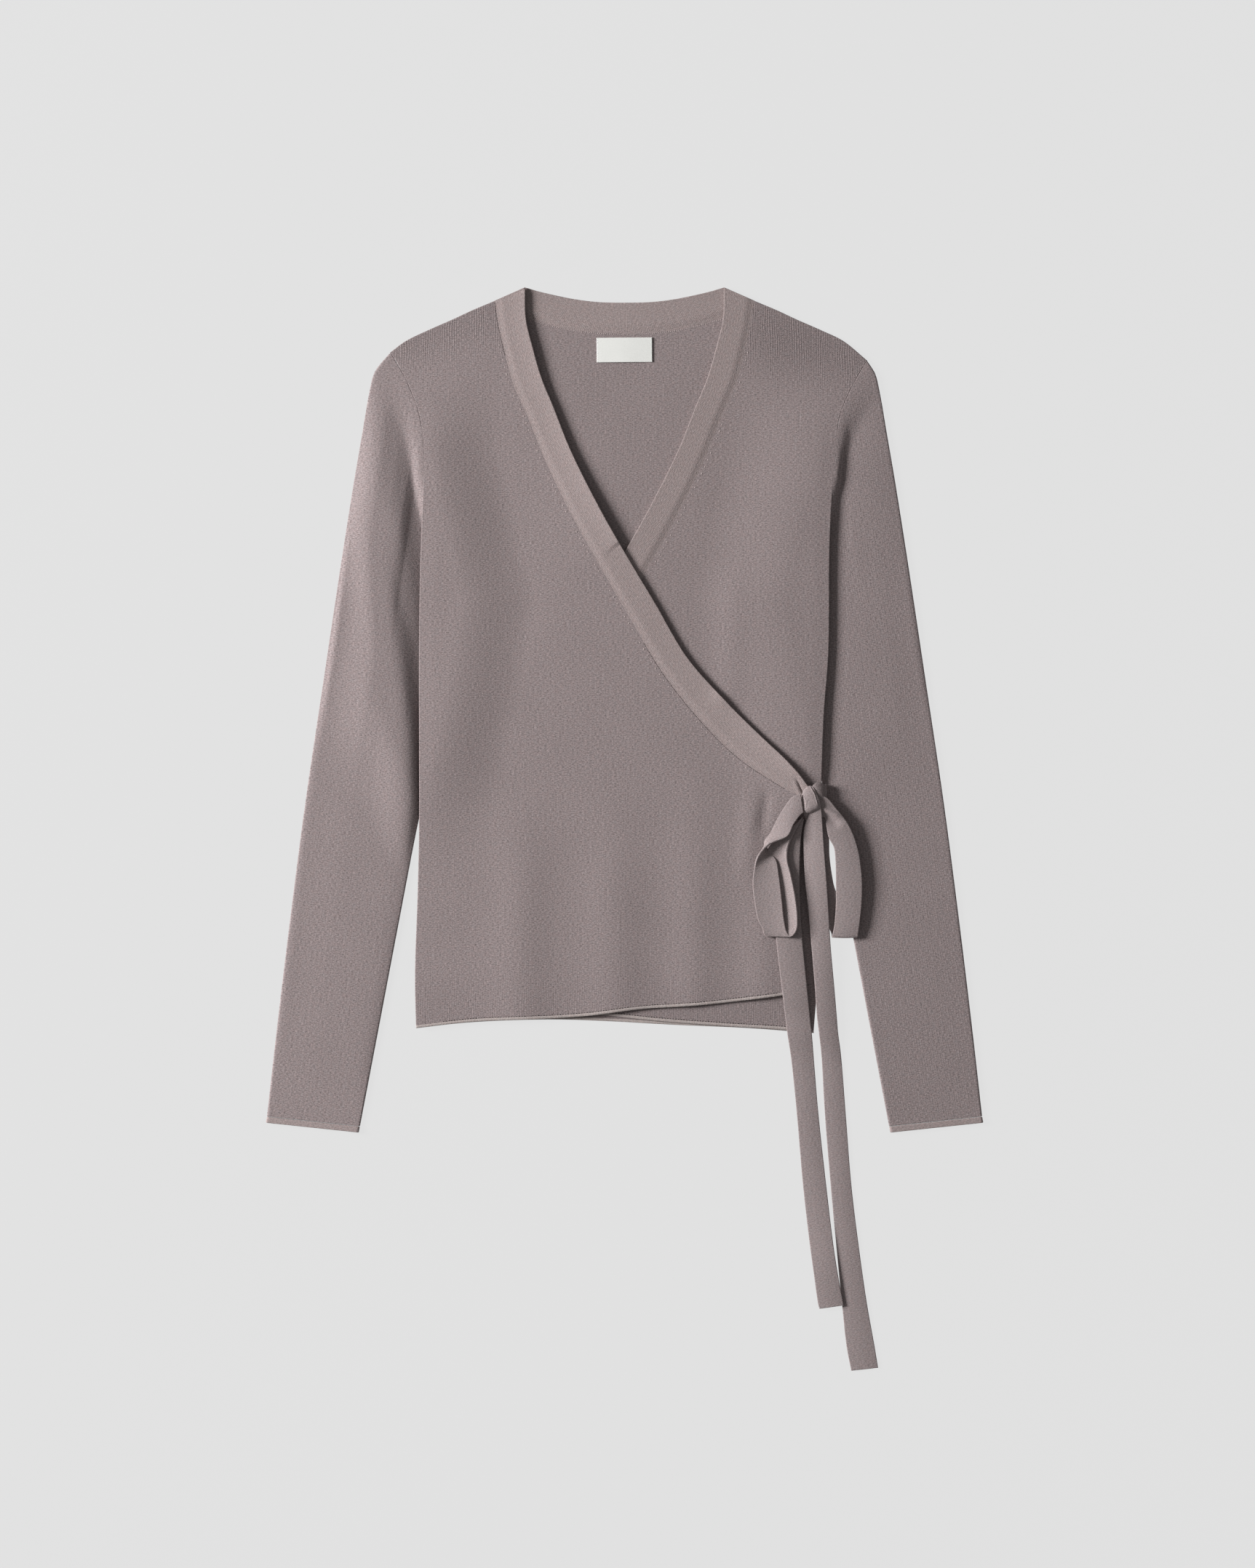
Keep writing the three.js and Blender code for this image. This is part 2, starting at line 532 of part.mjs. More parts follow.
for (const { word, side, edge, hem, height } of sides) {
  const sideLine = line(edge, 'x', 'y', side);
  const hemLine = line(hem, 'x', 'y', side);
  const panelHem = (share) => {
    const point = hemLine(1 - share);
    point.y += TRIM_WIDTH + SEAM;
    return point;
  };
  const shoulder = line([...SHOULDER, edge[0]], 'x', 'y', side);
  const seamRail = line(WRAP_BAND, 'seamX', 'seamY', side);
  const freeRail = line(WRAP_BAND, 'freeX', 'freeY', side);
  const sidePart = (share) => (share === 1 ? panelHem(1) : sideLine(share));
  const wrapEdge = chain([
    [seamRail, knotShare],
    [straight(seamRail(1), panelHem(0)), 1],
  ]);
  const front = panel(shoulder, panelHem, wrapEdge, sidePart, height);
  add(`front_${word}`, front, COLOURS.body);

  const bandHeight = (x, y) => height(x, y) + (BAND - CLOTH) / 2;
  const bandSeam = raised((share) => beside(seamRail, share, side * SEAM), bandHeight);
  const band = strip(raised(freeRail, bandHeight), bandSeam, shares(KNOT_ROW), BAND);
  add(`band_front_${word}`, band, COLOURS.band);

  const trimTop = raised((share) => {
    const point = panelHem(share);
    point.y -= SEAM;
    return point;
  }, height);
  const trimFoot = raised((share) => hemLine(1 - share), height);
  add(`hem_front_${word}`, strip(trimTop, trimFoot, shares(PANEL_COLUMNS), TRIM, 1), COLOURS.band);
}

// Back panel, from one armhole to the other, and its neck band and hem trim
const leftHalf = mirrored(SHOULDER).reverse();
const neckSeamRows = [
  ...NECK_BAND.map((row) => ({ x: -row.seamX, y: row.seamY })).reverse(),
  ...NECK_BAND.slice(1).map((row) => ({ x: row.seamX, y: row.seamY })),
];
const backTop = chain([
  [line([{ x: -SIDE_RIGHT[0].x, y: SIDE_RIGHT[0].y }, ...leftHalf]), 4 / PANEL_COLUMNS],
  [line(neckSeamRows), 12 / PANEL_COLUMNS],
  [line([...SHOULDER, SIDE_LEFT[0]]), 1],
]);
const backHemLine = line(HEM_BACK);
const backHem = (share) => {
  const point = backHemLine(share);
  point.y += TRIM_WIDTH + SEAM;
  return point;
};
const backSide = (rows, side, end) => {
  const curve = line(rows, 'x', 'y', side);
  return (share) => (share === 1 ? backHem(end) : curve(share));
};
const back = panel(backTop, backHem, backSide(SIDE_RIGHT, -1, 0), backSide(SIDE_LEFT, 1, 1), heightBack);
add('back', back, COLOURS.body);

const backBandHeight = (x, y) => heightBack(x, y) + (BAND - CLOTH) / 2;
const backTrimHeight = (x, y) => heightBack(x, y) + (TRIM - CLOTH) / 2;
const backTrimTop = raised((share) => {
  const point = backHem(share);
  point.y -= SEAM;
  return point;
}, backTrimHeight);
const backTrim = strip(backTrimTop, raised(backHemLine, backTrimHeight), shares(PANEL_COLUMNS), TRIM, 1);
add('hem_back', backTrim, COLOURS.band);

const neckFreeRows = [
  ...NECK_BAND.map((row) => ({ x: -row.freeX, y: row.freeY })).reverse(),
  ...NECK_BAND.slice(1).map((row) => ({ x: row.freeX, y: row.freeY })),
];
const neckSeam = line(neckSeamRows);
const neckBand = strip(
  raised(line(neckFreeRows), backBandHeight),
  raised((share) => beside(neckSeam, share, -SEAM), backBandHeight),
  shares(8),
  BAND,
);
add('band_back_neck', neckBand, COLOURS.band);

// Sleeves: hollow tubes that lie flat, open at the armhole and at the cuff, with a turn-up at
// the cuff. The hidden lower part of the armhole runs below the body to the underarm.
for (const { word, side, edge } of sides) {
  const sideLine = line(edge, 'x', 'y', side);
  const armhole = [];
  for (let r = 0; r <= SEAM_ROWS; r += 1) {
    armhole.push(beside(sideLine, r / PANEL_ROWS, -side * SEAM));
  }
  const hiddenX = (UNDERARM_X + armhole[SEAM_ROWS].x * side) / 2 + 2;
  const hiddenY = (UNDERARM_Y + armhole[SEAM_ROWS].y) / 2;
  armhole.push(new THREE.Vector3(side * hiddenX, hiddenY, 0));
  armhole.push(new THREE.Vector3(side * UNDERARM_X, UNDERARM_Y, 0));
  const top = { x: armhole[0].x * side, y: armhole[0].y };
  const outerRail = line([top, ...SLEEVE_OUTER], 'x', 'y', side);
  const innerRail = line(SLEEVE_INNER, 'x', 'y', side);
  const cuffLine = straight(outerRail(1), innerRail(1));
  const ahead = innerRail(1).sub(innerRail(0.95)).normalize();

  // A point of the flat sleeve in plan, u across and v along
  const plan = (u, v) => {
    const place = u * ARMHOLE_PARTS;
    const first = Math.min(Math.floor(place), ARMHOLE_PARTS - 1);
    const start = armhole[first].clone().lerp(armhole[first + 1], place - first);
    const point = start.clone().multiplyScalar(1 - v).addScaledVector(cuffLine(u), v);
    point.addScaledVector(outerRail(v), 1 - u).addScaledVector(innerRail(v), u);
    point.addScaledVector(outerRail(0), -(1 - u) * (1 - v)).addScaledVector(innerRail(0), -u * (1 - v));
    point.addScaledVector(outerRail(1), -(1 - u) * v).addScaledVector(innerRail(1), -u * v);
    return point;
  };

  // Share of the way across at which the sleeve goes below the body
  const showsUpTo = (v) => {
    const fine = shares(60);
    const hidden = fine.find((u) => {
      const point = plan(u, v);
      return point.x * side < lookup(edge, 'y', 'x', point.y);
    });
    return hidden || 1;
  };

  // Height of the hollow at a share of the way from the outer fold to the body's edge
  const hollow = (share, v) => {
    const down = ease(0.2, 0.4, v);
    const between = ([from, to]) => THREE.MathUtils.lerp(from, to, down);
    const crest = between(HOLLOW[word].crest);
    const s = Math.min(1, share / crest);
    const round = 1 - (1 - s) ** 2;
    const slow = 0.45 * Math.min(1, s / 0.12) + 0.55 * ease(0.15, 1, s);
    const rise = THREE.MathUtils.lerp(round, slow, ease(0.2, 0.35, v));
    const past = THREE.MathUtils.clamp((share - crest) / (1 - crest), 0, 1);
    const along = ease(0, 0.2, v) * (1 - 0.85 * ease(0.4, 0.62, v)) * (1 - ease(0.85, 1, v));
    return between(HOLLOW[word].height) * rise * (1 - past ** between(HOLLOW[word].fall)) * along;
  };

  // One ring of the tube: over the top from fold to fold, then back along the underside.
  // At the armhole it meets the height of the body panels.
  const ring = (v, push, thickness) => {
    const fold = FOLD + (thickness - CLOTH) / 2;
    const inset = thickness / 2 + fold;
    const low = thickness / 2;
    const across = plan(1, v).sub(plan(0, v)).normalize();
    const shows = showsUpTo(v);
    const points = [];
    const place = (u, shift, rise) => {
      const point = plan(u, v).addScaledVector(across, shift).addScaledVector(ahead, push);
      const back = heightBack(point.x, point.y);
      const panel = THREE.MathUtils.lerp(back, heightUnder(point.x, point.y), rise / (2 * fold));
      const sewn = v === 0 ? ease(SEAM_ROWS, SEAM_ROWS - 1, u * ARMHOLE_PARTS) : 0;
      const swell = rise > fold && u > 0 && u < 1 ? hollow(u / shows, v) : 0;
      point.z = THREE.MathUtils.lerp(low + rise + swell, panel, sewn);
      points.push(point);
    };
    place(0, inset - fold, fold);
    place(0, inset, 2 * fold);
    for (let c = 1; c < SLEEVE_COLUMNS; c += 1) place(c / SLEEVE_COLUMNS, 0, 2 * fold);
    place(1, -inset, 2 * fold);
    place(1, fold - inset, fold);
    place(1, -inset, 0);
    for (let c = SLEEVE_COLUMNS - 1; c > 0; c -= 1) place(c / SLEEVE_COLUMNS, 0, 0);
    place(0, inset, 0);
    return points;
  };
  const tube = shares(SLEEVE_ROWS).map((v) => ring(v, 0, CLOTH));
  add(`sleeve_${word}`, wall(tube, CLOTH, true), COLOURS.body);
  const cuff = [SEAM, CUFF_DEPTH / 2, CUFF_DEPTH].map((push) => ring(1, push, TURN_UP));
  add(`cuff_${word}`, wall(cuff, TURN_UP, true), COLOURS.band);
}

// Plain woven label, sewn inside the back below the neck band
const labelShape = new THREE.BoxGeometry(LABEL.width, LABEL.depth, LABEL.thickness);
labelShape.rotateZ(LABEL.tilt);
labelShape.translate(0, LABEL.y, CLOTH + SEAM + LABEL.thickness / 2);
add('neck_label', labelShape, COLOURS.label, 0.8);

// The knot: a cushion of wrapped tie, fuller than a ball, with a crease across it
const knotCurve = new THREE.CatmullRomCurve3(
  KNOT_OUTLINE.map((row) => new THREE.Vector3(row.x, row.y, 0)),
  true,
  'centripetal',
);
const knotPoints = [KNOT.x, KNOT.y, KNOT.z + KNOT.half];
for (let level = 1; level < KNOT.levels; level += 1) {
  const angle = (Math.PI * level) / KNOT.levels;
  const spread = Math.sin(angle) ** 0.7;
  for (let i = 0; i < KNOT.around; i += 1) {
    const rim = knotCurve.getPoint(i / KNOT.around);
    const crease = 1 - 0.08 * Math.cos(3 * Math.atan2(rim.y, rim.x)) * Math.cos(angle) ** 2;
    knotPoints.push(
      KNOT.x + rim.x * spread * crease,
      KNOT.y + rim.y * spread * crease,
      KNOT.z + KNOT.half * Math.cos(angle),
    );
  }
}
knotPoints.push(KNOT.x, KNOT.y, KNOT.z - KNOT.half);
const knotIndex = [];
const knotAt = (level, i) => 1 + (level - 1) * KNOT.around + (i % KNOT.around);
for (let i = 0; i < KNOT.around; i += 1) {
  knotIndex.push(0, knotAt(1, i), knotAt(1, i + 1));
  knotIndex.push(knotAt(KNOT.levels - 1, i + 1), knotAt(KNOT.levels - 1, i), knotPoints.length / 3 - 1);
  for (let level = 1; level < KNOT.levels - 1; level += 1) {
    knotIndex.push(knotAt(level, i), knotAt(level + 1, i), knotAt(level + 1, i + 1));
    knotIndex.push(knotAt(level, i), knotAt(level + 1, i + 1), knotAt(level, i + 1));
  }
}
add('tie_knot', outward(knotPoints, knotIndex), COLOURS.tie);

add('bow_loop_inner', tieStrip(LOOP_INNER, 38, KNOT.x, KNOT.y), COLOURS.tie);
add('bow_loop_outer', tieStrip(LOOP_OUTER, 34, KNOT.x, KNOT.y), COLOURS.tie);
add('tie_tail_long', tieStrip(TAIL_LONG, 30), COLOURS.tie);
add('tie_tail_short', tieStrip(TAIL_SHORT, 30), COLOURS.tie);
add('tie_rear_strap', tieStrip(REAR_STRAP, 8), COLOURS.tie);

export default cardigan;
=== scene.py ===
"""A long-sleeved wrap cardigan in heathered fine knit, laid flat on a pale floor.

Lengths are in metres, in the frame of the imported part: +X runs to the right across the
body, +Y to the neck and +Z up from the floor. The wearer's right side lies at -X. Tables
are in millimetres and are turned into metres where they are read.
"""

import bpy
import numpy as np
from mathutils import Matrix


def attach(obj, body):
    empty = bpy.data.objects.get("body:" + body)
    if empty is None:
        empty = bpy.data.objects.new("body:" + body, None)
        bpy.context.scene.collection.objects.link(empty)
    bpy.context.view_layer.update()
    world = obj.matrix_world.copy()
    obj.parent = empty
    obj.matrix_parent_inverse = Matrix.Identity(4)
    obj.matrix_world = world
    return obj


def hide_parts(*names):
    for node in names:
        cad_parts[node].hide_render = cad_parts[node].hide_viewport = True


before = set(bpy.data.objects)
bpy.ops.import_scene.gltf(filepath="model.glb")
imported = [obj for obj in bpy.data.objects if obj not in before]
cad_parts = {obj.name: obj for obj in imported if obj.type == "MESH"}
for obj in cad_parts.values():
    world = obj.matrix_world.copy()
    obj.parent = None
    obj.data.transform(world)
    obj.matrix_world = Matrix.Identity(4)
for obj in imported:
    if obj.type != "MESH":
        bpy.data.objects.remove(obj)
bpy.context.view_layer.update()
MM = 0.001


# The back is one knitted panel from the shoulders to the hem. It is fine plain knit in a
# heathered taupe yarn, 1.1 mm thick, and lies flat on the floor with its inside up. Its side
# margins rise a little where the sleeves are tucked below the body.

CLOTH = 1.1 * MM
LAY = 0.4 * MM
SEAM = 0.3 * MM
SEAM_OVERLAP = 0.55 * MM
TRIM_WIDTH = 2.6 * MM
EDGE = 0.45 * MM
BODY_SHADE = (0.278, 0.227, 0.226)
# The under shade is the body's yarn made a little darker: painted shade on the back and the under
# front.
UNDER_PAINTED_SHADE = (0.266, 0.217, 0.216)
PANEL_ROWS = 24
KNOT_SHARE = 17 / PANEL_ROWS
BODY_LENGTH = 0.55
UNDERARM = np.array([133, 185]) * MM
ARMHOLE = np.array([162.5, 306.8]) * MM

# The tuck lifts a margin over its sleeve, and the margin's edge rolls down again. Its foot is
# where it starts and where it is full up the body, and its reach is measured inwards from the
# sleeve's fold, on the wearer's right and left. It fades out towards the shoulder.
TUCK, ROLL = 5.4 * MM, 0.5 * MM
TUCK_FOOT = ((-50 * MM, 100 * MM), (-40 * MM, 70 * MM))
TUCK_REACH = (62 * MM, 80 * MM)
TUCK_TOP = (392 * MM, 285 * MM)
FOLD_SLANT, FOLD_AT_ORIGIN = 0.19, 168.4 * MM

# Shoulder line from the band to the armhole: x, y
SHOULDER = [(104.8, 428.0), (123.6, 420.1), (138.9, 413.0), (159.0, 404.2), (177.3, 395.3)]

# Armhole seam and side of the body, from the shoulder to the hem: x, y
SIDE_RIGHT = [
    (189.7, 386.2), (183.2, 375.8), (172.0, 352.8), (165.0, 330.4), (162.5, 306.8), (163.5, 260.0),
    (165.2, 212.4), (166.1, 141.6), (166.1, 13.0), (167.3, -47.2), (169.6, -118.0), (169.6, -156.5),
]
SIDE_LEFT = [
    (196.4, 379.6), (190.6, 369.9), (180.6, 351.0), (174.0, 333.4), (170.6, 306.8), (167.9, 271.4),
    (165.9, 230.0), (164.9, 141.6), (161.4, 94.4), (159.4, 40.0), (158.2, -35.4), (155.6, -129.8),
    (153.6, -160.6),
]

# Back neck band from the centre to the shoulder: free edge x, y, then seam x, y
NECK_BAND = [
    (0.0, 426.6, 0.0, 401.8), (22.7, 427.2, 24.0, 402.8), (40.4, 429.4, 43.0, 405.0),
    (54.6, 432.2, 62.0, 409.3), (70.0, 435.8, 84.0, 416.2), (80.0, 438.8, 104.8, 428.0),
]

# Lower edge of the back from the wearer's right to the left: x, y
HEM_BACK = [
    (-168.8, -161.1), (-123.0, -156.4), (-58.1, -154.2), (-9.1, -155.8), (35.7, -158.3),
    (100.0, -161.2), (153.2, -165.2),
]


def smooth(points, spans=16):
    """A dense smooth line through the points, as thread laid through pins would run."""
    p = np.asarray(points, float)
    p = np.vstack([2 * p[0] - p[1], p, 2 * p[-1] - p[-2]])
    gap = np.sqrt(np.linalg.norm(np.diff(p, axis=0), axis=1))[:, None]
    p0, p1, p2, p3 = p[:-3], p[1:-2], p[2:-1], p[3:]
    g0, g1, g2 = gap[:-2], gap[1:-1], gap[2:]
    leave = g1 * ((p1 - p0) / g0 - (p2 - p0) / (g0 + g1)) + p2 - p1
    arrive = p2 - p1 - g1 * (p3 - p1) / (g1 + g2) + g1 * (p3 - p2) / g2
    s = np.linspace(0, 1, spans, endpoint=False)[:, None, None]
    line = (2 * s**3 - 3 * s**2 + 1) * p1 + (s**3 - 2 * s**2 + s) * leave
    line = line + (3 * s**2 - 2 * s**3) * p2 + (s**3 - s**2) * arrive
    line = line.transpose(1, 0, 2).reshape(-1, p.shape[1])
    return np.vstack([line, p[-2]])


def border(rows, side=1, columns=(0, 1)):
    """A smooth line in plan from two columns of a table, mirrored for the side at -X."""
    return smooth(np.asarray(rows, float)[:, columns] * MM * (side, 1))


def distances(line):
    """How far along a line each of its points lies."""
    return np.concatenate([[0], np.cumsum(np.linalg.norm(np.diff(line, axis=0), axis=1))])


def at(line, share):
    """The points of a line at shares of its length."""
    reach = distances(line)
    return np.stack([np.interp(share, reach / reach[-1], column) for column in line.T], axis=-1)


def unit(vectors):
    """Vectors of length one in the same directions."""
    return vectors / np.linalg.norm(vectors, axis=-1, keepdims=True)


def joined(parts, share):
    """Points along several lines end to end, each up to its own share of the whole."""
    start, out = 0, np.zeros((len(share), 2))
    for line, end in parts:
        mine = (share >= start) & (share <= end)
        out[mine] = at(line, (share[mine] - start) / (end - start))
        start = end
    return out


def shares(count, length, kept=()):
    """Even shares of a length, with a few more close to both ends for the round edge.

    kept holds shares that are wanted as well, such as a corner of the border.
    """
    near = np.array([0, 0.07, 0.28, 0.6, 1.0]) * MM / length
    even = np.linspace(0, 1, count)[1:-1]
    even = even[(even > near[-1]) & (even < 1 - near[-1])]
    return np.unique(np.concatenate([near, even, 1 - near, kept]))


def spread(top, hem, inner, outer, u, v):
    """A flat panel between four borders. u runs across it and v down it."""
    u, v = u[None, :, None], v[:, None, None]
    inner, outer = inner[:, None], outer[:, None]
    flat = (1 - v) * top + v * hem + (1 - u) * inner + u * outer
    flat = flat - (1 - v) * ((1 - u) * inner[0] + u * outer[0])
    return flat - v * ((1 - u) * inner[-1] + u * outer[-1])


def side_at(rows, y):
    """How far the side of the body lies from the centre line at a height up the body."""
    rows = np.array(rows)[::-1] * MM
    return np.interp(y, rows[:, 1], rows[:, 0])


def ease(start, end, value):
    """Rises smoothly from 0 to 1 between two places."""
    t = np.clip((value - start) / (end - start), 0, 1)
    return t * t * (3 - 2 * t)


def tuck_lift(x, y):
    """Rise of the body's margins over the tucked sleeves. The very edge rolls down again."""
    up = np.clip((y - UNDERARM[1]) / (ARMHOLE[1] - UNDERARM[1]), 0, 1)
    above = UNDERARM[0] + up * (ARMHOLE[0] - UNDERARM[0])
    fold = np.where(y <= UNDERARM[1], FOLD_AT_ORIGIN - FOLD_SLANT * y, above)
    edge = np.where(x < 0, side_at(SIDE_RIGHT, y), side_at(SIDE_LEFT, y))
    foot = np.where(x < 0, *(ease(*foot, y) for foot in TUCK_FOOT))
    rise = TUCK * ease(fold - np.where(x < 0, *TUCK_REACH), fold - 2 * MM, np.abs(x))
    rise -= ROLL * ease(edge - 14 * MM, edge + 4 * MM, np.abs(x))
    return rise * foot * ease(*TUCK_TOP, y)


def back_height(x, y):
    return CLOTH / 2 + tuck_lift(x, y)


def raised(flat, height):
    """Points in plan lifted to a layer's height."""
    return np.dstack([flat[..., 0], flat[..., 1], height(flat[..., 0], flat[..., 1])])


def wire(tree, inputs, sources):
    """Links inputs, by name or number, to their source, or sets them to a value."""
    for word, source in sources.items():
        if isinstance(source, bpy.types.NodeSocket):
            tree.links.new(source, inputs[word])
        else:
            inputs[word].default_value = source


def node(tree, kind, *sources, named=None, **settings):
    """A node with its settings. Its first inputs and the named ones are linked or set."""
    made = tree.nodes.new(kind)
    for name, value in settings.items():
        setattr(made, name, value)
    wire(tree, made.inputs, dict(enumerate(sources)))
    wire(tree, made.inputs, named or {})
    return made


def calc(tree, operation, *sources):
    return node(tree, "ShaderNodeMath", *sources, operation=operation).outputs[0]


def noise(tree, place, scale, detail=2.0, roughness=0.5):
    """Soft random values around 0.5. The scale is in spots to the metre."""
    named = {"Scale": scale, "Detail": detail, "Roughness": roughness}
    return node(tree, "ShaderNodeTexNoise", place, named=named).outputs[0]


def scaled(tree, vector, amount):
    """A vector or a colour times one number."""
    named = {"Scale": amount}
    return node(tree, "ShaderNodeVectorMath", vector, operation="SCALE", named=named).outputs[0]


def mixed(tree, share, first, second):
    """A colour between two others."""
    named = {6: (*first, 1), 7: (*second, 1)}
    return node(tree, "ShaderNodeMix", share, data_type="RGBA", named=named).outputs[2]


def new_group(name, inputs, outputs):
    tree = bpy.data.node_groups.new(name, "ShaderNodeTree")
    for way, sockets in (("INPUT", inputs), ("OUTPUT", outputs)):
        for word, kind in sockets.items():
            tree.interface.new_socket(name=word, in_out=way, socket_type="NodeSocket" + kind)
    return tree, node(tree, "NodeGroupInput").outputs, node(tree, "NodeGroupOutput").inputs


def heathered_knit():
    """Plain knit in a mixed yarn: columns of V stitches under a haze of short flecks."""
    inputs = {"Cloth": "Vector", "Wale": "Float", "Course": "Float", "Shade": "Color",
              "Fleck": "Float", "Ribs": "Float"}
    outputs = {"Colour": "Color", "Roughness": "Float", "Height": "Float"}
    tree, given, result = new_group("heathered knit", inputs, outputs)
    cloth = given["Cloth"]

    # Stitches: each column wanders a little, and the two legs of a V lean to its middle
    place = node(tree, "ShaderNodeSeparateXYZ", cloth).outputs
    wander = calc(tree, "MULTIPLY", noise(tree, cloth, scale=45), 1.2)
    x = calc(tree, "ADD", calc(tree, "DIVIDE", place[0], given["Wale"]), wander)
    y = calc(tree, "DIVIDE", place[1], given["Course"])
    y = calc(tree, "ADD", y, noise(tree, cloth, scale=160, detail=1))
    off_middle = calc(tree, "ABSOLUTE", calc(tree, "SUBTRACT", calc(tree, "FRACT", x), 0.5))
    row = calc(tree, "ADD", y, calc(tree, "MULTIPLY", off_middle, 1.3))
    leg = calc(tree, "SINE", calc(tree, "MULTIPLY", off_middle, 2 * np.pi))
    loop = calc(tree, "SINE", calc(tree, "MULTIPLY", calc(tree, "FRACT", row), np.pi))
    stitch = calc(tree, "MULTIPLY", leg, calc(tree, "MULTIPLY_ADD", loop, 0.55, 0.45))

    # Flecks: wisps and fluff drawn out along the rows, painted shade in the grooves between the
    # columns, and a slow change of tone over the panel
    stretch = (0.38, 1, 1)
    along_rows = node(tree, "ShaderNodeVectorMath", cloth, stretch, operation="MULTIPLY").outputs[0]
    wisp = noise(tree, along_rows, scale=1300, roughness=0.6)
    fluff = noise(tree, along_rows, scale=2300, detail=1)
    cloud = noise(tree, cloth, scale=22)
    mottle = calc(tree, "MULTIPLY_ADD", wisp, 3.4, -1.7)
    mottle = calc(tree, "ADD", mottle, calc(tree, "MULTIPLY_ADD", fluff, 2.0, -1.0))
    mottle = calc(tree, "MULTIPLY_ADD", mottle, given["Fleck"], 1)
    # Painted shade in the grooves between the columns, as deep as the rib mask says
    groove_shade = calc(tree, "POWER", calc(tree, "MULTIPLY", off_middle, 2), 3)
    groove_shade = calc(tree, "MULTIPLY", calc(tree, "MULTIPLY", groove_shade, given["Ribs"]), -0.55)
    tone = calc(tree, "MULTIPLY", mottle, calc(tree, "ADD", groove_shade, 1))
    tone = calc(tree, "MULTIPLY", tone, calc(tree, "MULTIPLY_ADD", cloud, 0.12, 0.94))
    tint = mixed(tree, noise(tree, cloth, scale=300), (1.05, 0.985, 0.97), (0.95, 1.015, 1.03))
    tinted = node(tree, "ShaderNodeVectorMath", given["Shade"], tint, operation="MULTIPLY")
    height = calc(tree, "MULTIPLY", stitch, given["Ribs"])
    wire(tree, result, {
        "Colour": scaled(tree, tinted.outputs[0], tone),
        "Roughness": calc(tree, "MULTIPLY_ADD", wisp, -0.2, 1),
        "Height": calc(tree, "MULTIPLY_ADD", wisp, 1.4, height),
    })
    return tree


KNIT = heathered_knit()


def new_finish(name):
    """A new material, its nodes and the inputs of its shader."""
    material = bpy.data.materials.new(name)
    material.use_nodes = True
    return material, material.node_tree, material.node_tree.nodes["Principled BSDF"].inputs


def bumpy(tree, height, distance):
    """A surface normal that follows a height."""
    named = {"Distance": distance, "Height": height}
    return node(tree, "ShaderNodeBump", named=named).outputs[0]


def knit(name, shade, wale=1.95 * MM, course=1.5 * MM, fleck=0.55, relief=0.2 * MM):
    """A finish of the mixed yarn, laid out on the cloth's own flat pattern.

    wale is the width of a column of stitches and course the height of a row.
    """
    material, tree, shader = new_finish(name)
    pattern = node(tree, "ShaderNodeUVMap", uv_map="cloth").outputs[0]
    ribs = node(tree, "ShaderNodeAttribute", attribute_name="ribs").outputs["Fac"]
    yarn = node(tree, "ShaderNodeGroup", node_tree=KNIT)
    wire(tree, yarn.inputs, {"Cloth": pattern, "Ribs": ribs, "Wale": wale, "Course": course,
                             "Shade": (*shade, 1), "Fleck": fleck})
    wire(tree, shader, {
        "Base Color": yarn.outputs["Colour"],
        "Roughness": yarn.outputs["Roughness"],
        "Normal": bumpy(tree, yarn.outputs["Height"], relief),
        "Sheen Weight": 0.12,
        "Sheen Roughness": 0.5,
        "Specular IOR Level": 0.2,
    })
    return material


def new_object(name, data):
    """A new object at the origin."""
    made = bpy.data.objects.new(name, data)
    bpy.context.scene.collection.objects.link(made)
    return made


def grid_numbers(rows, columns, around):
    """The numbers of a grid's points. around repeats the first column at the end."""
    number = np.arange(rows * columns).reshape(rows, columns)
    return np.hstack([number, number[:, :1]]) if around else number


def grid_faces(number):
    """The four-sided faces between the numbered points of a grid."""
    corners = [number[:-1, :-1], number[1:, :-1], number[1:, 1:], number[:-1, 1:]]
    return np.stack(corners, -1).reshape(-1, 4)


def quad_mesh(name, points, quads, pattern, ribs):
    """A smooth mesh whose faces point outwards, with its flat pattern and its rib mask."""
    corner = points[quads]
    volume = np.einsum("ij,ij->i", corner[:, 0], np.cross(corner[:, 1], corner[:, 2])).sum()
    volume += np.einsum("ij,ij->i", corner[:, 0], np.cross(corner[:, 2], corner[:, 3])).sum()
    if volume < 0:
        quads = quads[:, ::-1]
    mesh = bpy.data.meshes.new(name)
    mesh.vertices.add(len(points))
    mesh.vertices.foreach_set("co", points.astype(np.float32).ravel())
    mesh.loops.add(quads.size)
    mesh.loops.foreach_set("vertex_index", quads.astype(np.int32).ravel())
    mesh.polygons.add(len(quads))
    mesh.polygons.foreach_set("loop_start", np.arange(0, quads.size, 4, dtype=np.int32))
    mesh.update(calc_edges=True)
    mesh.shade_smooth()
    layer = mesh.uv_layers.new(name="cloth")
    layer.data.foreach_set("uv", pattern[quads.ravel()].astype(np.float32).ravel())
    mask = mesh.attributes.new("ribs", "FLOAT", "POINT")
    mask.data.foreach_set("value", ribs.astype(np.float32))
    return mesh


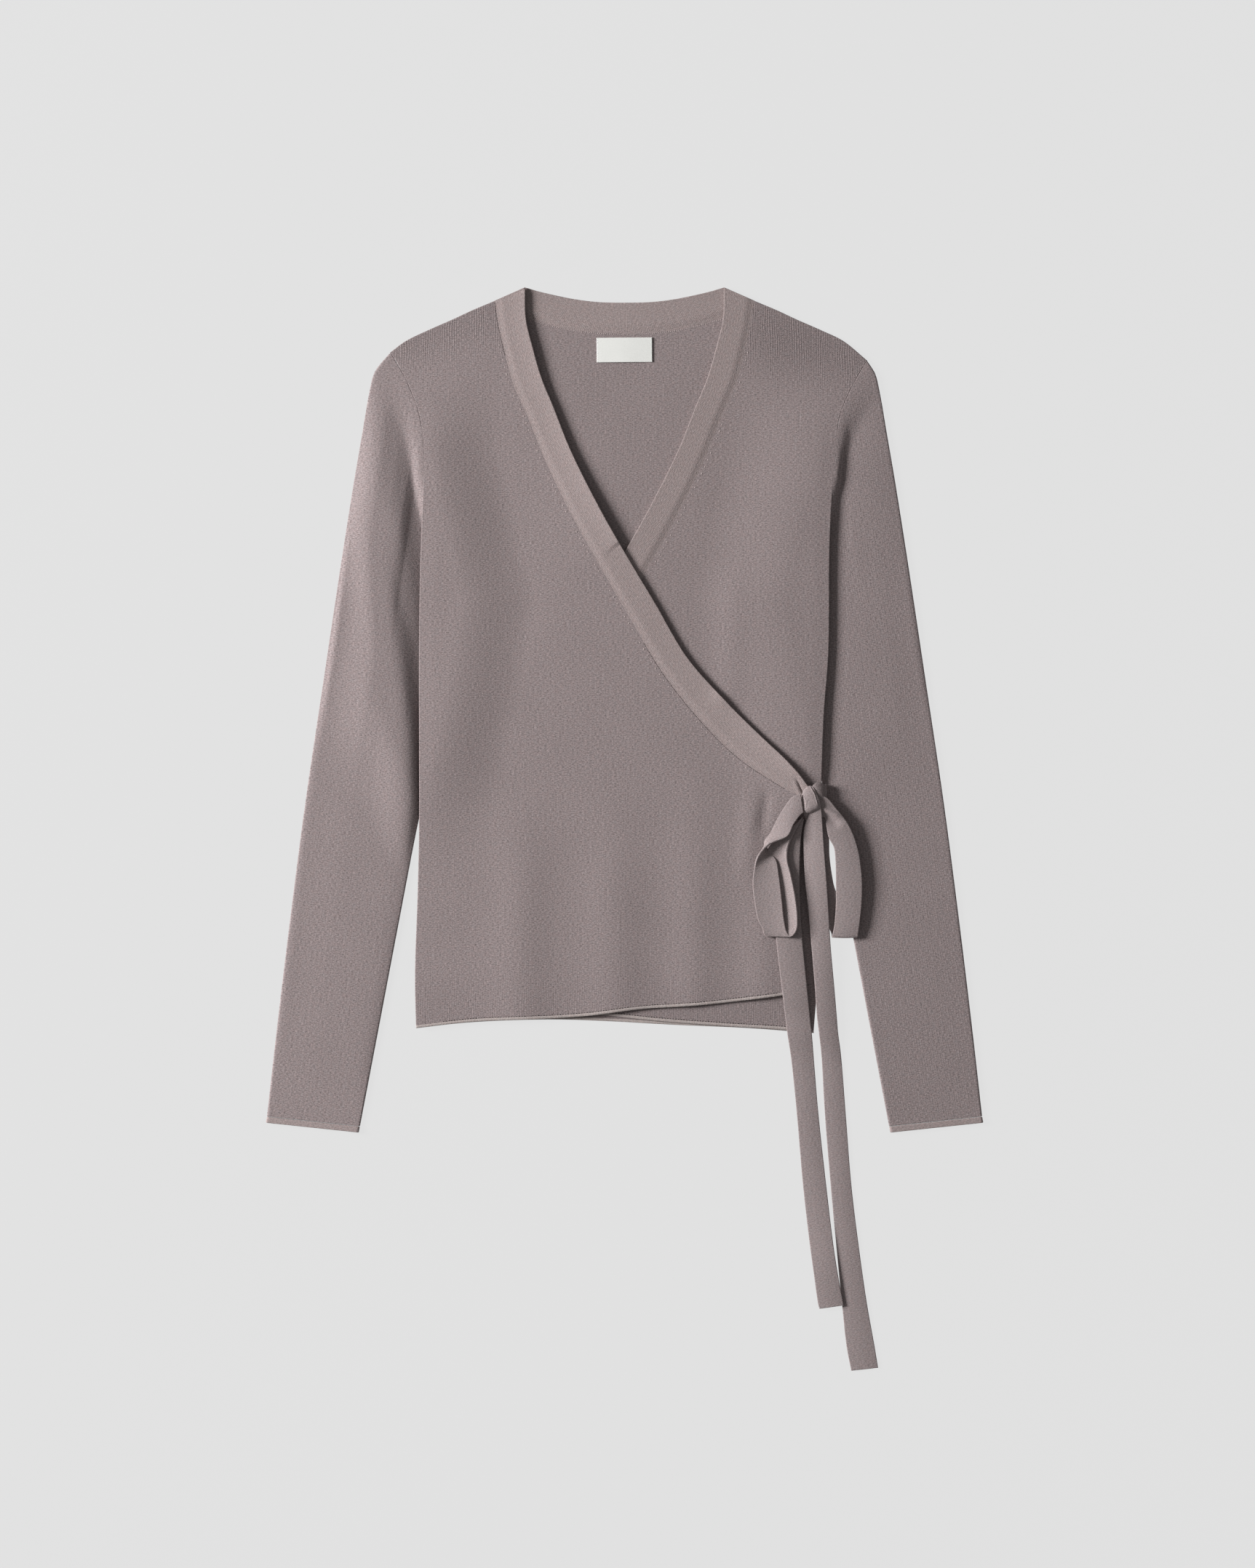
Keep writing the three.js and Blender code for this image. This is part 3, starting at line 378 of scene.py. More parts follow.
def wall(name, middle, thickness, material, pattern=None, ribs=0.3, around=False, rim=None, thin=1):
    """A closed wall on rows and columns of points in the middle of the cloth.

    It thins to a round edge along its rims. around joins the last column to the first, and
    thin is the share of the thickness that each column keeps.
    """
    rows, columns = middle.shape[:2]
    if around:
        across = np.roll(middle, -1, 1) - np.roll(middle, 1, 1)
    else:
        across = np.gradient(middle, axis=1)
    normal = unit(np.cross(across, np.gradient(middle, axis=0)))

    def inside(axis):
        step = np.linalg.norm(np.diff(middle, axis=axis), axis=2)
        start = np.zeros_like(step.take([0], axis))
        reach = np.concatenate([start, np.cumsum(step, axis)], axis)
        return np.minimum(reach, reach.take([-1], axis) - reach)

    depth = inside(0) if around else np.minimum(inside(0), inside(1))
    t = 1 - np.clip(depth / (rim or EDGE), 0, 1)
    half = (thickness / 2 * thin * np.sqrt(np.clip(1 - t * t, 0.02, 1)))[..., None]
    number = grid_numbers(rows, columns, around)
    faces, under = grid_faces(number), rows * columns
    quads = [faces, faces[:, ::-1] + under]
    rims = [number[0], number[-1][::-1]]
    if not around:
        rims += [number[:, 0][::-1], number[:, -1]]
    for edge in rims:
        quads.append(np.stack([edge[:-1], edge[1:], edge[1:] + under, edge[:-1] + under], -1))
    points = np.vstack([(middle + side * half * normal).reshape(-1, 3) for side in (1, -1)])
    flat = (middle[..., :2] if pattern is None else pattern).reshape(-1, 2)
    mask = np.broadcast_to(ribs, (rows, columns)).ravel()
    mesh = quad_mesh(name, points, np.vstack(quads), np.vstack([flat, flat]), np.tile(mask, 2))
    mesh.materials.append(material)
    return new_object(name, mesh)


def sewn(piece, stands_for):
    """Attaches a piece to the root and hides the solid that it stands for."""
    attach(piece, "root")
    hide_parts(stands_for)


body_knit = knit("taupe_knit", BODY_SHADE)
# The back and the under front take the darker copy of the yarn, which is painted shade.
under_knit_painted_shade = knit("taupe_knit_painted_shade", UNDER_PAINTED_SHADE)
shoulder_lines = {side: smooth(np.array([*SHOULDER, edge[0]]) * MM * (side, 1))
                  for side, edge in ((-1, SIDE_RIGHT), (1, SIDE_LEFT))}
neck_rows = np.array(NECK_BAND)
neck_rows = np.vstack([neck_rows[:0:-1] * (-1, 1, -1, 1), neck_rows])
neck_seam = border(neck_rows, columns=(2, 3))
hem_back_line = border(HEM_BACK)
back_across = shares(count=150, length=0.34, kept=(0.25, 0.75))
back_down = shares(count=180, length=BODY_LENGTH)
hem_lift = np.array([0, TRIM_WIDTH - SEAM_OVERLAP])
back_top = joined(
    [(shoulder_lines[-1][::-1], 0.25), (neck_seam, 0.75), (shoulder_lines[1], 1)], back_across
)
back_foot = at(hem_back_line, back_across) + hem_lift
back_sides = []
for side, rows, corner in ((-1, SIDE_RIGHT, back_foot[0]), (1, SIDE_LEFT, back_foot[-1])):
    margin = np.array(rows[:-1]) * MM * (side, 1)
    back_sides.append(at(smooth([*margin, corner]), back_down))
back_flat = spread(back_top, back_foot, *back_sides, back_across, back_down)
back = wall("back_knit", raised(back_flat, back_height), CLOTH, under_knit_painted_shade, ribs=0.12)
sewn(back, "back")


# The neck label is a strip of woven tape, sewn down at its two ends inside the back. The
# tape is left bare.

LABEL_SIZE = (45 * MM, 20 * MM)
LABEL_Y, LABEL_TILT, LABEL_THICKNESS = 388.2 * MM, 0.008, 0.7 * MM
LABEL_BOW = 0.35 * MM


def woven_tape():
    """Off-white woven tape with a fine, even weave."""
    material, tree, shader = new_finish("woven_tape")
    place = node(tree, "ShaderNodeTexCoord").outputs["Object"]
    threads = []
    for way in ("X", "Y"):
        wave = node(tree, "ShaderNodeTexWave", place, bands_direction=way, named={"Scale": 520})
        threads.append(wave.outputs[1])
    weave = calc(tree, "MULTIPLY", *threads)
    wire(tree, shader, {
        "Base Color": mixed(tree, weave, (0.74, 0.74, 0.71), (0.90, 0.90, 0.865)),
        "Roughness": 0.6,
        "Normal": bumpy(tree, weave, 0.05 * MM),
    })
    return material


label_u = shares(count=40, length=LABEL_SIZE[0]) - 0.5
label_v = shares(count=20, length=LABEL_SIZE[1]) - 0.5
label_x = np.broadcast_to(label_u * LABEL_SIZE[0], (len(label_v), len(label_u)))
label_y = np.broadcast_to(label_v[:, None] * LABEL_SIZE[1], label_x.shape)
label_flat = np.dstack([label_x - LABEL_TILT * label_y, LABEL_Y + label_y + LABEL_TILT * label_x])
label_bow = LABEL_BOW * np.cos(np.pi * label_u) * np.ones_like(label_x)
label_grid = np.dstack([label_flat, CLOTH + SEAM + LABEL_THICKNESS / 2 + label_bow])
tape = woven_tape()
label = wall("neck_label_tape", label_grid, LABEL_THICKNESS, tape)
sewn(label, "neck_label")


# The two fronts are mirror pieces of one pattern, each with a slanting wrap edge. The
# wearer's left front lies on the back, and the right front lies over both and reaches the
# knot at the left side.

# The fronts rise over the neck band, and the top front also over the under front's edge
NECK_RISE = 0.8 * MM
OVERLAP = 2.25 * MM

# Wrap band of one front from the neck point to the knot, with +x towards the front's own
# side of the body: free edge x, y, then seam x, y
WRAP_BAND = [
    (80.4, 438.8, 104.8, 428.0), (79.6, 413.0, 101.9, 409.0), (74.0, 389.4, 96.5, 385.0),
    (67.2, 365.8, 90.0, 361.0), (57.5, 342.2, 78.5, 334.5), (43.4, 306.8, 64.0, 298.5),
    (19.8, 259.6, 39.6, 248.5), (0.5, 225.4, 20.2, 213.8), (-24.5, 183.5, -4.5, 171.0),
    (-51.0, 138.7, -33.0, 124.0), (-83.5, 102.1, -66.0, 83.3), (-107.1, 78.5, -91.0, 59.0),
    (-130.7, 56.1, -118.5, 40.0), (-142.2, 43.4, -133.0, 31.5), (-147.0, 36.6, -140.5, 27.6),
]

# Lower edges, with +x towards the front's own side: x, y
HEM_RIGHT = [
    (168.8, -161.1), (123.0, -156.0), (58.1, -153.1), (28.6, -151.0), (-12.0, -145.8),
    (-59.9, -142.6), (-107.1, -137.4), (-137.8, -133.3),
]
HEM_LEFT = [
    (153.2, -165.2), (131.3, -162.6), (83.5, -159.6), (24.5, -155.2), (-16.8, -150.5),
    (-70.0, -144.5), (-137.8, -137.0),
]

# Soft folds in a front, each a ridge or a trough along a line: x, y at both ends, then its
# height and its spread
FOLDS_TOP = [
    (-84, 10, -84, -230, 1.6, 15), (-8, 10, -8, -230, 1.8, 16), (56, 30, 56, -230, 1.3, 13),
    (114, -20, 112, -230, 1.3, 12), (116, 34, 110, -6, -1.0, 3.0), (104, 30, 98, -40, 1.0, 6),
    (138.6, 41.6, 145.6, 26.6, -1.3, 0.9), (137.0, 40.4, 143.4, 26.0, 0.6, 1.2),
]
FOLDS_UNDER = [(88, 215, 84, 80, 0.55, 8)]


def folds(rows, x, y):
    """Ridges and troughs that fade out at both ends."""
    total = np.zeros_like(x)
    for x0, y0, x1, y1, height, width in rows:
        along = np.array([x1 - x0, y1 - y0]) * MM
        length = np.linalg.norm(along)
        along /= length
        from_start = np.stack([x - x0 * MM, y - y0 * MM], -1)
        run = from_start @ along / length
        off = (from_start @ (along[1], -along[0])) / (width * MM)
        fade = ease(-0.15, 0.35, run) * ease(1.15, 0.65, run)
        total += height * MM * np.exp(-0.5 * off**2) * fade
    return total


def front_height(x, y):
    neck = NECK_RISE * ease(340 * MM, 385 * MM, y) * ease(172 * MM, 108 * MM, np.abs(x))
    return 1.5 * CLOTH + LAY + tuck_lift(x, y) + neck


def under_height(x, y):
    return front_height(x, y) + folds(FOLDS_UNDER, x, y)


def top_height(x, y):
    edge = np.array(WRAP_BAND)[::-1] * MM
    under_edge = np.interp(y, edge[:, 1], edge[:, 0])
    overlap = OVERLAP * ease(-125 * MM, -12 * MM, x - under_edge)
    return front_height(x, y) + overlap + folds(FOLDS_TOP, x, y)


def rib_mask(x, y):
    """The columns of stitches stand out most at the shoulders and above the hem."""
    # The mask sets both the columns' bump and the painted shade in their grooves.
    from_neck = y + 0.25 * np.abs(x) + np.where(x > 0, 14, 0) * MM
    return 0.1 + 0.7 * ease(395 * MM, 445 * MM, from_neck) + 0.25 * ease(-100 * MM, -150 * MM, y)


FRONTS = {
    "left": dict(side=1, rows=SIDE_LEFT, hem=HEM_LEFT, height=under_height, finish=under_knit_painted_shade,
                 on="back_knit"),
    "right": dict(side=-1, rows=SIDE_RIGHT, hem=HEM_RIGHT, height=top_height, finish=body_knit,
                  on="front_left_knit"),
}
front_across = shares(count=110, length=0.25)
front_down = shares(count=210, length=BODY_LENGTH, kept=[KNOT_SHARE])
for word, front in FRONTS.items():
    side = front["side"]
    front["hem_line"] = border(front["hem"], side)[::-1]
    front["seam"] = border(WRAP_BAND, side, (2, 3))
    front["free"] = border(WRAP_BAND, side)
    foot = at(front["hem_line"], front_across) + hem_lift
    wrap = [(front["seam"], KNOT_SHARE), (np.array([front["seam"][-1], foot[0]]), 1)]
    margin = np.array(front["rows"][:-1]) * MM * (side, 1)
    inner, outer = joined(wrap, front_down), at(smooth([*margin, foot[-1]]), front_down)
    top = at(shoulder_lines[side], front_across)
    flat = spread(top, foot, inner, outer, front_across, front_down)
    front["grid"] = raised(flat, front["height"])
    mask = rib_mask(flat[..., 0], flat[..., 1])
    piece = wall(f"front_{word}_knit", front["grid"], CLOTH, front["finish"], ribs=mask)
    sewn(piece, f"front_{word}")


# The bands along the wrap edges and round the back neck are knitted double and linked on.
# Their yarn looks lighter because their stitches run across the edge.

BAND, BAND_RIM = 1.9 * MM, 0.2 * MM
BAND_SHADE = (0.342, 0.278, 0.271)
band_knit = knit("band_knit", BAND_SHADE, wale=1.2 * MM, course=2.4 * MM, fleck=0.36)

# Where the upper band's end lies inside the knot: free edge x, y, and seam x, y
BAND_END = [(-151.5, 31.5), (-145.5, 22.0)]

# Places along a band where its free edge stands up from what lies below: share, height
CURLS = {
    "left": [(0, 0.2), (0.3, 0.25), (1, 0)],
    "right": [
        (0, 0.6), (0.08, 2.2), (0.4, 2.6), (0.47, 0.8), (0.6, 0.3), (0.72, 0.7), (0.78, 2.2),
        (0.83, 0.8), (0.9, 1.4), (0.95, 2.6), (1, 1.5),
    ],
}


def beside(line, distance):
    """A line moved sideways in plan, to its right when seen along it."""
    along = unit(np.gradient(line, axis=0))
    return line + distance * np.stack([along[:, 1], -along[:, 0]], -1)


def strip(free, seam, height, down, across, curl=0.0):
    """A flat strip between two lines, with a pattern that runs along and across it.

    curl lifts the free edge, in the same shares along the strip.
    """
    left, right = at(free, down)[:, None], at(seam, down)[:, None]
    flat = left + (right - left) * across[:, None]
    reach = np.broadcast_to(distances(left[:, 0])[:, None], flat.shape[:2])
    pattern = np.dstack([reach, np.linalg.norm(right - left, axis=-1) * across])
    grid = raised(flat, height)
    grid[..., 2] += np.reshape(curl, (-1, 1)) * (1 - across) ** 2
    return grid, pattern


band_across = shares(count=26, length=22 * MM)
band_thin = 1 - (1 - CLOTH / BAND) * ease(0.7, 1, band_across)


def band_height(height):
    """The middle of a band that thins towards its seam and keeps its underside level."""
    return lambda x, y: height(x, y) + (BAND * band_thin - CLOTH) / 2


band_down = shares(count=320, length=0.52)
for word, front in FRONTS.items():
    side, free = front["side"], front["free"]
    seam = beside(front["seam"], -side * SEAM_OVERLAP)
    if word == "right":
        free, seam = (np.vstack([line, np.multiply(end, (side * MM, MM))])
                      for line, end in zip((free, seam), BAND_END))
    curl = smooth(CURLS[word], 12)
    curl = np.interp(band_down, curl[:, 0], curl[:, 1]) * MM
    grid, pattern = strip(free, seam, band_height(front["height"]), band_down, band_across, curl)
    piece = wall(
        f"band_{word}_knit", grid, BAND, band_knit, pattern, ribs=0.5, rim=BAND_RIM, thin=band_thin
    )
    sewn(piece, f"band_front_{word}")

neck_down = shares(count=130, length=0.17)
neck_free, neck_edge = border(neck_rows), beside(neck_seam, SEAM_OVERLAP)
grid, pattern = strip(neck_free, neck_edge, band_height(back_height), neck_down, band_across)
neck_band = wall("band_neck_knit", grid, BAND, band_knit, pattern, ribs=0.5, thin=band_thin)
sewn(neck_band, "band_back_neck")


# Each lower edge is finished with a narrow rolled trim, linked on below the panel.

TRIM = 1.3 * MM
TRIM_SHADE = (0.42, 0.362, 0.345)
trim_knit = knit("trim_knit", TRIM_SHADE, wale=1.6 * MM, course=1.6 * MM, fleck=0.3)

# Each trim's line, its layer and its length
TRIMS = {
    "hem_front_right": (FRONTS["right"]["hem_line"], top_height, 0.312),
    "hem_front_left": (FRONTS["left"]["hem_line"], under_height, 0.295),
    "hem_back": (hem_back_line, back_height, 0.325),
}


def trim_height(height):
    """The middle of a trim whose underside is level with the cloth's."""
    return lambda x, y: height(x, y) + (TRIM - CLOTH) / 2


trim_across = np.linspace(0, 1, 11)
trim_down = shares(count=170, length=0.3)
for word, (line, height, length) in TRIMS.items():
    layer = trim_height(height)
    grid, pattern = strip(line + (0, TRIM_WIDTH), line, layer, trim_down, trim_across)
    piece = wall(f"{word}_trim", grid, TRIM, trim_knit, pattern, ribs=0.2, rim=TRIM_WIDTH / 2)
    sewn(piece, word)


# The sleeves are knitted to shape and closed along the inner fold. They lie flat as open
# tubes, with their upper inner part tucked below the body, and end in a short turn-up.

FOLD = 0.85 * MM
SLEEVE_ACROSS = 65
TURN_UP = 1.5 * MM

# Outer fold of a sleeve from below the shoulder to the turn-up, and its inner fold: x, y
SLEEVE_OUTER = [
    (200.0, 374.0), (202.9, 368.8), (207.0, 351.0), (211.5, 324.5), (218.6, 283.2), (229.8, 212.4),
    (244.0, 118.0), (258.1, 23.6), (270.5, -70.8), (281.7, -162.8), (289.6, -232.6),
]
SLEEVE_INNER = [
    (133.0, 185.0), (150.4, 95.0), (158.8, 44.0), (168.4, 0.0), (182.0, -70.8), (199.4, -162.8),
    (214.2, -240.6),
]


class Sleeve:
    """One flat sleeve in plan, and the rings that go round it."""

    def __init__(self, side, rows, height, crest, fall, opens):
        self.rows, self.height, self.crest, self.fall, self.opens = rows, height, crest, fall, opens
        seam = beside(border(rows, side), side * SEAM_OVERLAP)
        armhole = at(seam, np.arange(5) / PANEL_ROWS)
        hidden = (UNDERARM * (side, 1) + armhole[-1]) / 2 + (side * 2 * MM, 0)
        self.armhole = np.vstack([armhole, hidden, UNDERARM * (side, 1)])
        outer = np.array(SLEEVE_OUTER) * MM * (side, 1)
        self.outer = smooth([armhole[0], *outer])
        self.inner = border(SLEEVE_INNER, side)
        self.ahead = unit(self.inner[-1] - at(self.inner, 0.95))

    def plan(self, u, v):
        """Points in plan, u across from the outer fold and v along from the armhole."""
        place = u * (len(self.armhole) - 1)
        first = np.minimum(place.astype(int), len(self.armhole) - 2)
        start = self.armhole[first]
        start = start + (self.armhole[first + 1] - start) * (place - first)[:, None]
        cuff = self.outer[-1] + (self.inner[-1] - self.outer[-1]) * u[:, None]
        return spread(start, cuff, at(self.outer, v), at(self.inner, v), u, v)

    def swell(self, t, v):
        """How far the hollow sleeve stands up between its outer fold and the body's edge.

        It swells out below the armhole, sinks again towards the elbow and lies flat at the cuff.
        """
        t, v = np.clip(t, 0, 1), v[:, None]
        down = ease(0.2, 0.36, v)
        height, crest, fall = (a + (b - a) * down for a, b in (self.height, self.crest, self.fall))
        s = np.clip(t / crest, 0, 1)
        full = 1 - (1 - s) ** 2
        slow = 0.45 * (1 - np.clip(1 - s / 0.12, 0, 1) ** 2) + 0.55 * ease(0.15, 1, s)
        rise = full + (slow - full) * ease(0.2, 0.35, v)
        drop = 1 - np.clip((t - crest) / (1 - crest), 0, 1) ** fall
        along = ease(0, 0.16, v) * (1 - 0.88 * ease(0.38, 0.55, v)) * (1 - ease(0.85, 1, v))
        return height * rise * drop * along

    def tube(self, v, thickness, push=0.0):
        """Rings over the top from fold to fold and back along the underside."""
        radius = FOLD + (thickness - CLOTH) / 2
        inset, low = thickness / 2 + radius, thickness / 2
        u = np.linspace(0, 1, SLEEVE_ACROSS)
        turn = np.linspace(np.pi / 2, -np.pi / 2, 9)[1:-1]
        around = np.concatenate([u, np.ones(7)])
        shift = np.concatenate([inset * (1 - 2 * u), radius * np.cos(turn) - inset])
        rise = np.concatenate([np.full(len(u), 2 * radius), radius + radius * np.sin(turn)])
        around = np.concatenate([around, 1 - around])
        shift = np.concatenate([shift, -shift])
        rise = np.concatenate([rise, 2 * radius - rise])
        flat = self.plan(around, v)
        across = unit(at(self.inner, v) - at(self.outer, v))
        flat = flat + across[:, None] * shift[:, None]
        flat = flat + self.ahead * np.asarray(push).reshape(-1, 1, 1)
        x, y = flat[..., 0], flat[..., 1]

        # t runs from 0 at the outer fold to 1 where the sleeve passes below the body
        seen = np.abs(x[:, :len(u)]) > side_at(self.rows, y[:, :len(u)]) - 2 * SEAM_OVERLAP
        width = np.convolve(np.pad(seen.mean(1), 3, mode="edge"), np.ones(7) / 7, "valid")
        t = around / width[:, None]
        z = low + rise + np.zeros_like(x)
        z[:, :len(u)] += self.swell(t[:, :len(u)], v)

        # At the armhole, and beside the body just below it, it meets the panels' own height
        near_armhole = ease(0.05, 0, v)[:, None]
        beside_body = ease(self.opens, 0.01, v)[:, None] * ease(0.35, 1, t)
        sewn_on = 1 - (1 - near_armhole) * (1 - beside_body)
        panel = back_height(x, y)
        panel = panel + (front_height(x, y) - panel) * rise / (2 * radius)
        z = z + (panel - z) * sewn_on * ease(1.25, 1, t)
        return np.dstack([x, y, z])


# How each sleeve stands up, below the armhole and further down: height, place of its crest
# between the outer fold and the body's edge, and how late it falls to that edge
SLEEVES = {
    "right": Sleeve(-1, SIDE_RIGHT, (6.6 * MM, 7.0 * MM), (0.26, 0.48), (3.2, 10.0), opens=0.065),
    "left": Sleeve(1, SIDE_LEFT, (1.0 * MM, 1.0 * MM), (0.35, 0.35), (3.0, 3.0), opens=0.05),
}
SLEEVE_RIBS = {"right": 0.14, "left": 0.3}
sleeve_down = shares(count=160, length=0.6)
cuff_down = np.array([0, 0.07, 0.28, 0.6, 1, 1.6, 2.2, 2.8, 3.4, 3.9, 4.3, 4.62, 4.83, 4.9]) * MM
for word, sleeve in SLEEVES.items():
    along = unit(sleeve.outer[-1] - sleeve.outer[40])
    turned = np.array([[along[1], along[0]], [-along[0], along[1]]])
    grid = sleeve.tube(sleeve_down, CLOTH)
    look = dict(pattern=grid[..., :2] @ turned, ribs=SLEEVE_RIBS[word], around=True)
    piece = wall(f"sleeve_{word}_knit", grid, CLOTH, body_knit, **look)
    sewn(piece, f"sleeve_{word}")
    grid = sleeve.tube(np.ones(len(cuff_down)), TURN_UP, cuff_down + SEAM)
    look = dict(pattern=grid[..., :2] @ turned, ribs=0.2, around=True)
    piece = wall(f"cuff_{word}_knit", grid, TURN_UP, band_knit, **look)
    sewn(piece, f"cuff_{word}")


# The ties are doubled knit strips. The right front's tie and the left front's meet at the
# wearer's left side in a bow with two hanging loops and two long tails.

TIE = 1.6 * MM
KNOT = np.array([150.7, 23.0, 11.6]) * MM
TIE_SHADE = (0.306, 0.252, 0.250)
tie_knit = knit("tie_knit", TIE_SHADE, wale=1.3 * MM, course=1.3 * MM, fleck=0.36)

# Bow loop on the body side of the knot, measured from the knot, with heights from the
# floor: edge a x, y, z, then edge b x, y, z. It twists once and folds at its foot.
LOOP_INNER = [
    (-8.4, 5.2, 13.8, -6.4, -9.6, 14.6), (-14.6, 3.6, 13.6, -9.0, -11.6, 14.9),
    (-24.8, -10.0, 12.2, -14.2, -18.9, 15.4), (-33.0, -26.0, 10.4, -18.9, -28.3, 16.0),
    (-37.4, -33.6, 9.0, -34.5, -35.4, 17.2), (-33.6, -41.5, 8.8, -43.4, -45.0, 15.2),
    (-28.3, -47.8, 11.2, -46.0, -54.5, 12.0), (-25.9, -60.6, 11.4, -47.2, -67.3, 10.5),
    (-23.5, -80.0, 11.2, -45.4, -83.8, 9.8), (-21.6, -97.0, 11.0, -41.9, -98.5, 9.2),
    (-19.4, -106.0, 10.8, -34.2, -107.6, 8.9), (-16.0, -109.6, 11.2, -25.4, -109.8, 8.2),
    (-11.8, -104.8, 12.4, -17.0, -104.8, 7.4), (-11.0, -94.2, 13.2, -15.6, -94.2, 7.2),
    (-12.9, -77.0, 13.8, -17.6, -77.0, 7.2), (-16.3, -60.0, 14.0, -20.6, -60.0, 7.6),
    (-19.4, -46.0, 13.8, -22.4, -46.0, 8.8), (-17.8, -34.8, 13.4, -19.4, -35.4, 10.4),
    (-11.6, -22.0, 12.4, -13.6, -23.6, 12.0), (-6.2, -12.8, 12.0, -8.6, -14.8, 12.0),
]

# Bow loop on the sleeve side. It folds under at its foot and comes back below the long tail.
LOOP_OUTER = [
    (6.0, 4.6, 11.0, 4.0, -10.4, 9.6), (12.8, 2.4, 10.6, 7.2, -13.4, 9.6),
    (20.6, -6.6, 10.4, 10.6, -13.6, 10.2), (28.9, -17.1, 10.4, 12.2, -20.4, 10.2),
    (34.0, -27.0, 9.6, 14.2, -29.6, 9.8), (37.0, -36.0, 9.2, 18.4, -37.6, 9.6),
    (38.9, -43.7, 9.0, 19.6, -47.0, 9.4),
    (41.3, -64.3, 8.8, 20.1, -64.3, 8.8), (40.9, -85.0, 8.2, 20.1, -85.0, 8.0),
    (38.9, -102.6, 7.4, 18.6, -102.6, 7.2), (37.8, -109.8, 6.0, 16.9, -109.8, 6.0),
    (37.0, -107.2, 4.4, 16.8, -107.8, 4.8), (33.6, -98.4, 4.2, 13.6, -100.4, 4.6),
    (25.4, -82.6, 4.6, 7.4, -85.2, 4.8), (19.6, -71.4, 5.2, 3.8, -73.6, 5.4),
    (16.8, -58.4, 6.2, 2.4, -60.2, 6.4), (15.0, -43.7, 7.2, 1.4, -45.4, 7.6),
    (14.6, -28.9, 7.6, 0.8, -30.1, 8.0), (12.4, -12.8, 8.2, 0.2, -14.6, 8.2),
]

# Long tail, its edge towards the body and its edge towards the sleeve: x, y, z of each
TAIL_LONG = [
    (150.4, 16.0, 11.0, 157.2, 25.6, 13.4), (148.6, 11.0, 10.8, 159.0, 15.0, 12.6),
    (145.2, 1.6, 8.8, 160.0, 3.0, 11.6), (144.6, -11.8, 7.8, 161.2, -14.8, 10.6),
    (145.6, -35.4, 7.2, 163.1, -38.4, 9.6), (148.4, -64.9, 6.6, 164.9, -64.9, 8.0),
    (151.2, -94.4, 5.4, 166.7, -94.4, 6.0),
    (153.7, -123.9, 4.6, 169.4, -123.9, 3.9), (155.6, -150.5, 4.4, 171.7, -150.5, 3.3),
    (157.2, -164.0, 3.5, 172.8, -164.0, 2.7), (159.4, -182.9, 1.4, 175.3, -182.9, 1.0),
    (162.2, -230.1, 0.8, 179.1, -230.1, 0.8), (167.0, -289.1, 0.8, 183.8, -289.1, 0.8),
    (171.4, -336.3, 0.8, 189.5, -336.3, 0.8), (176.0, -383.5, 0.8, 196.2, -383.5, 0.8),
    (179.8, -418.9, 0.8, 202.5, -418.9, 0.8), (183.6, -438.8, 0.8, 205.4, -436.4, 0.8),
]

# Short tail, whose end lies over the long one
TAIL_SHORT = [
    (137.6, 6.4, 9.4, 145.0, 8.6, 9.4), (130.7, -5.9, 9.4, 142.6, -5.9, 9.4),
    (124.2, -35.4, 8.8, 141.4, -35.4, 8.9), (121.8, -64.9, 7.2, 141.9, -64.9, 7.0),
    (122.6, -88.5, 6.95, 143.7, -88.5, 6.6), (125.8, -118.0, 7.1, 146.6, -118.0, 6.5),
    (128.0, -136.0, 6.9, 148.4, -136.0, 6.3), (129.8, -150.5, 5.2, 149.9, -150.5, 5.0),
    (131.8, -166.0, 4.2, 151.6, -166.0, 4.2), (134.8, -184.9, 1.6, 153.2, -184.9, 1.6),
    (139.5, -230.1, 0.8, 157.0, -230.1, 0.8), (144.6, -289.1, 0.8, 163.4, -289.1, 1.2),
    (150.0, -336.3, 1.8, 169.0, -336.3, 3.0), (153.2, -359.9, 2.6, 172.6, -359.9, 3.2),
    (156.8, -385.0, 2.8, 176.9, -383.0, 3.0), (157.8, -388.4, 2.8, 177.4, -385.6, 3.0),
]

# Strap of the left front's tie, from the side seam to the knot
REAR_STRAP = [
    (160.8, 36.0, 3.6, 160.8, 22.4, 3.6), (162.6, 36.6, 6.4, 162.4, 21.8, 6.2),
    (161.6, 36.4, 8.8, 162.0, 22.2, 8.6), (158.0, 38.0, 10.8, 160.4, 22.8, 10.6),
    (153.6, 37.0, 11.6, 157.6, 24.6, 11.6), (150.8, 33.6, 10.6, 154.0, 27.2, 10.8),
]

# Creases of the sleeve-side loop just below the knot, as for the soft folds of a front
LOOP_CREASES = [(158, 17.6, 176, 9.5, 1.3, 1.1), (160, 12.0, 174, 3.0, -1.5, 2.8)]


CROWN = 0.5 * MM
PATTERN_COLUMN = 6


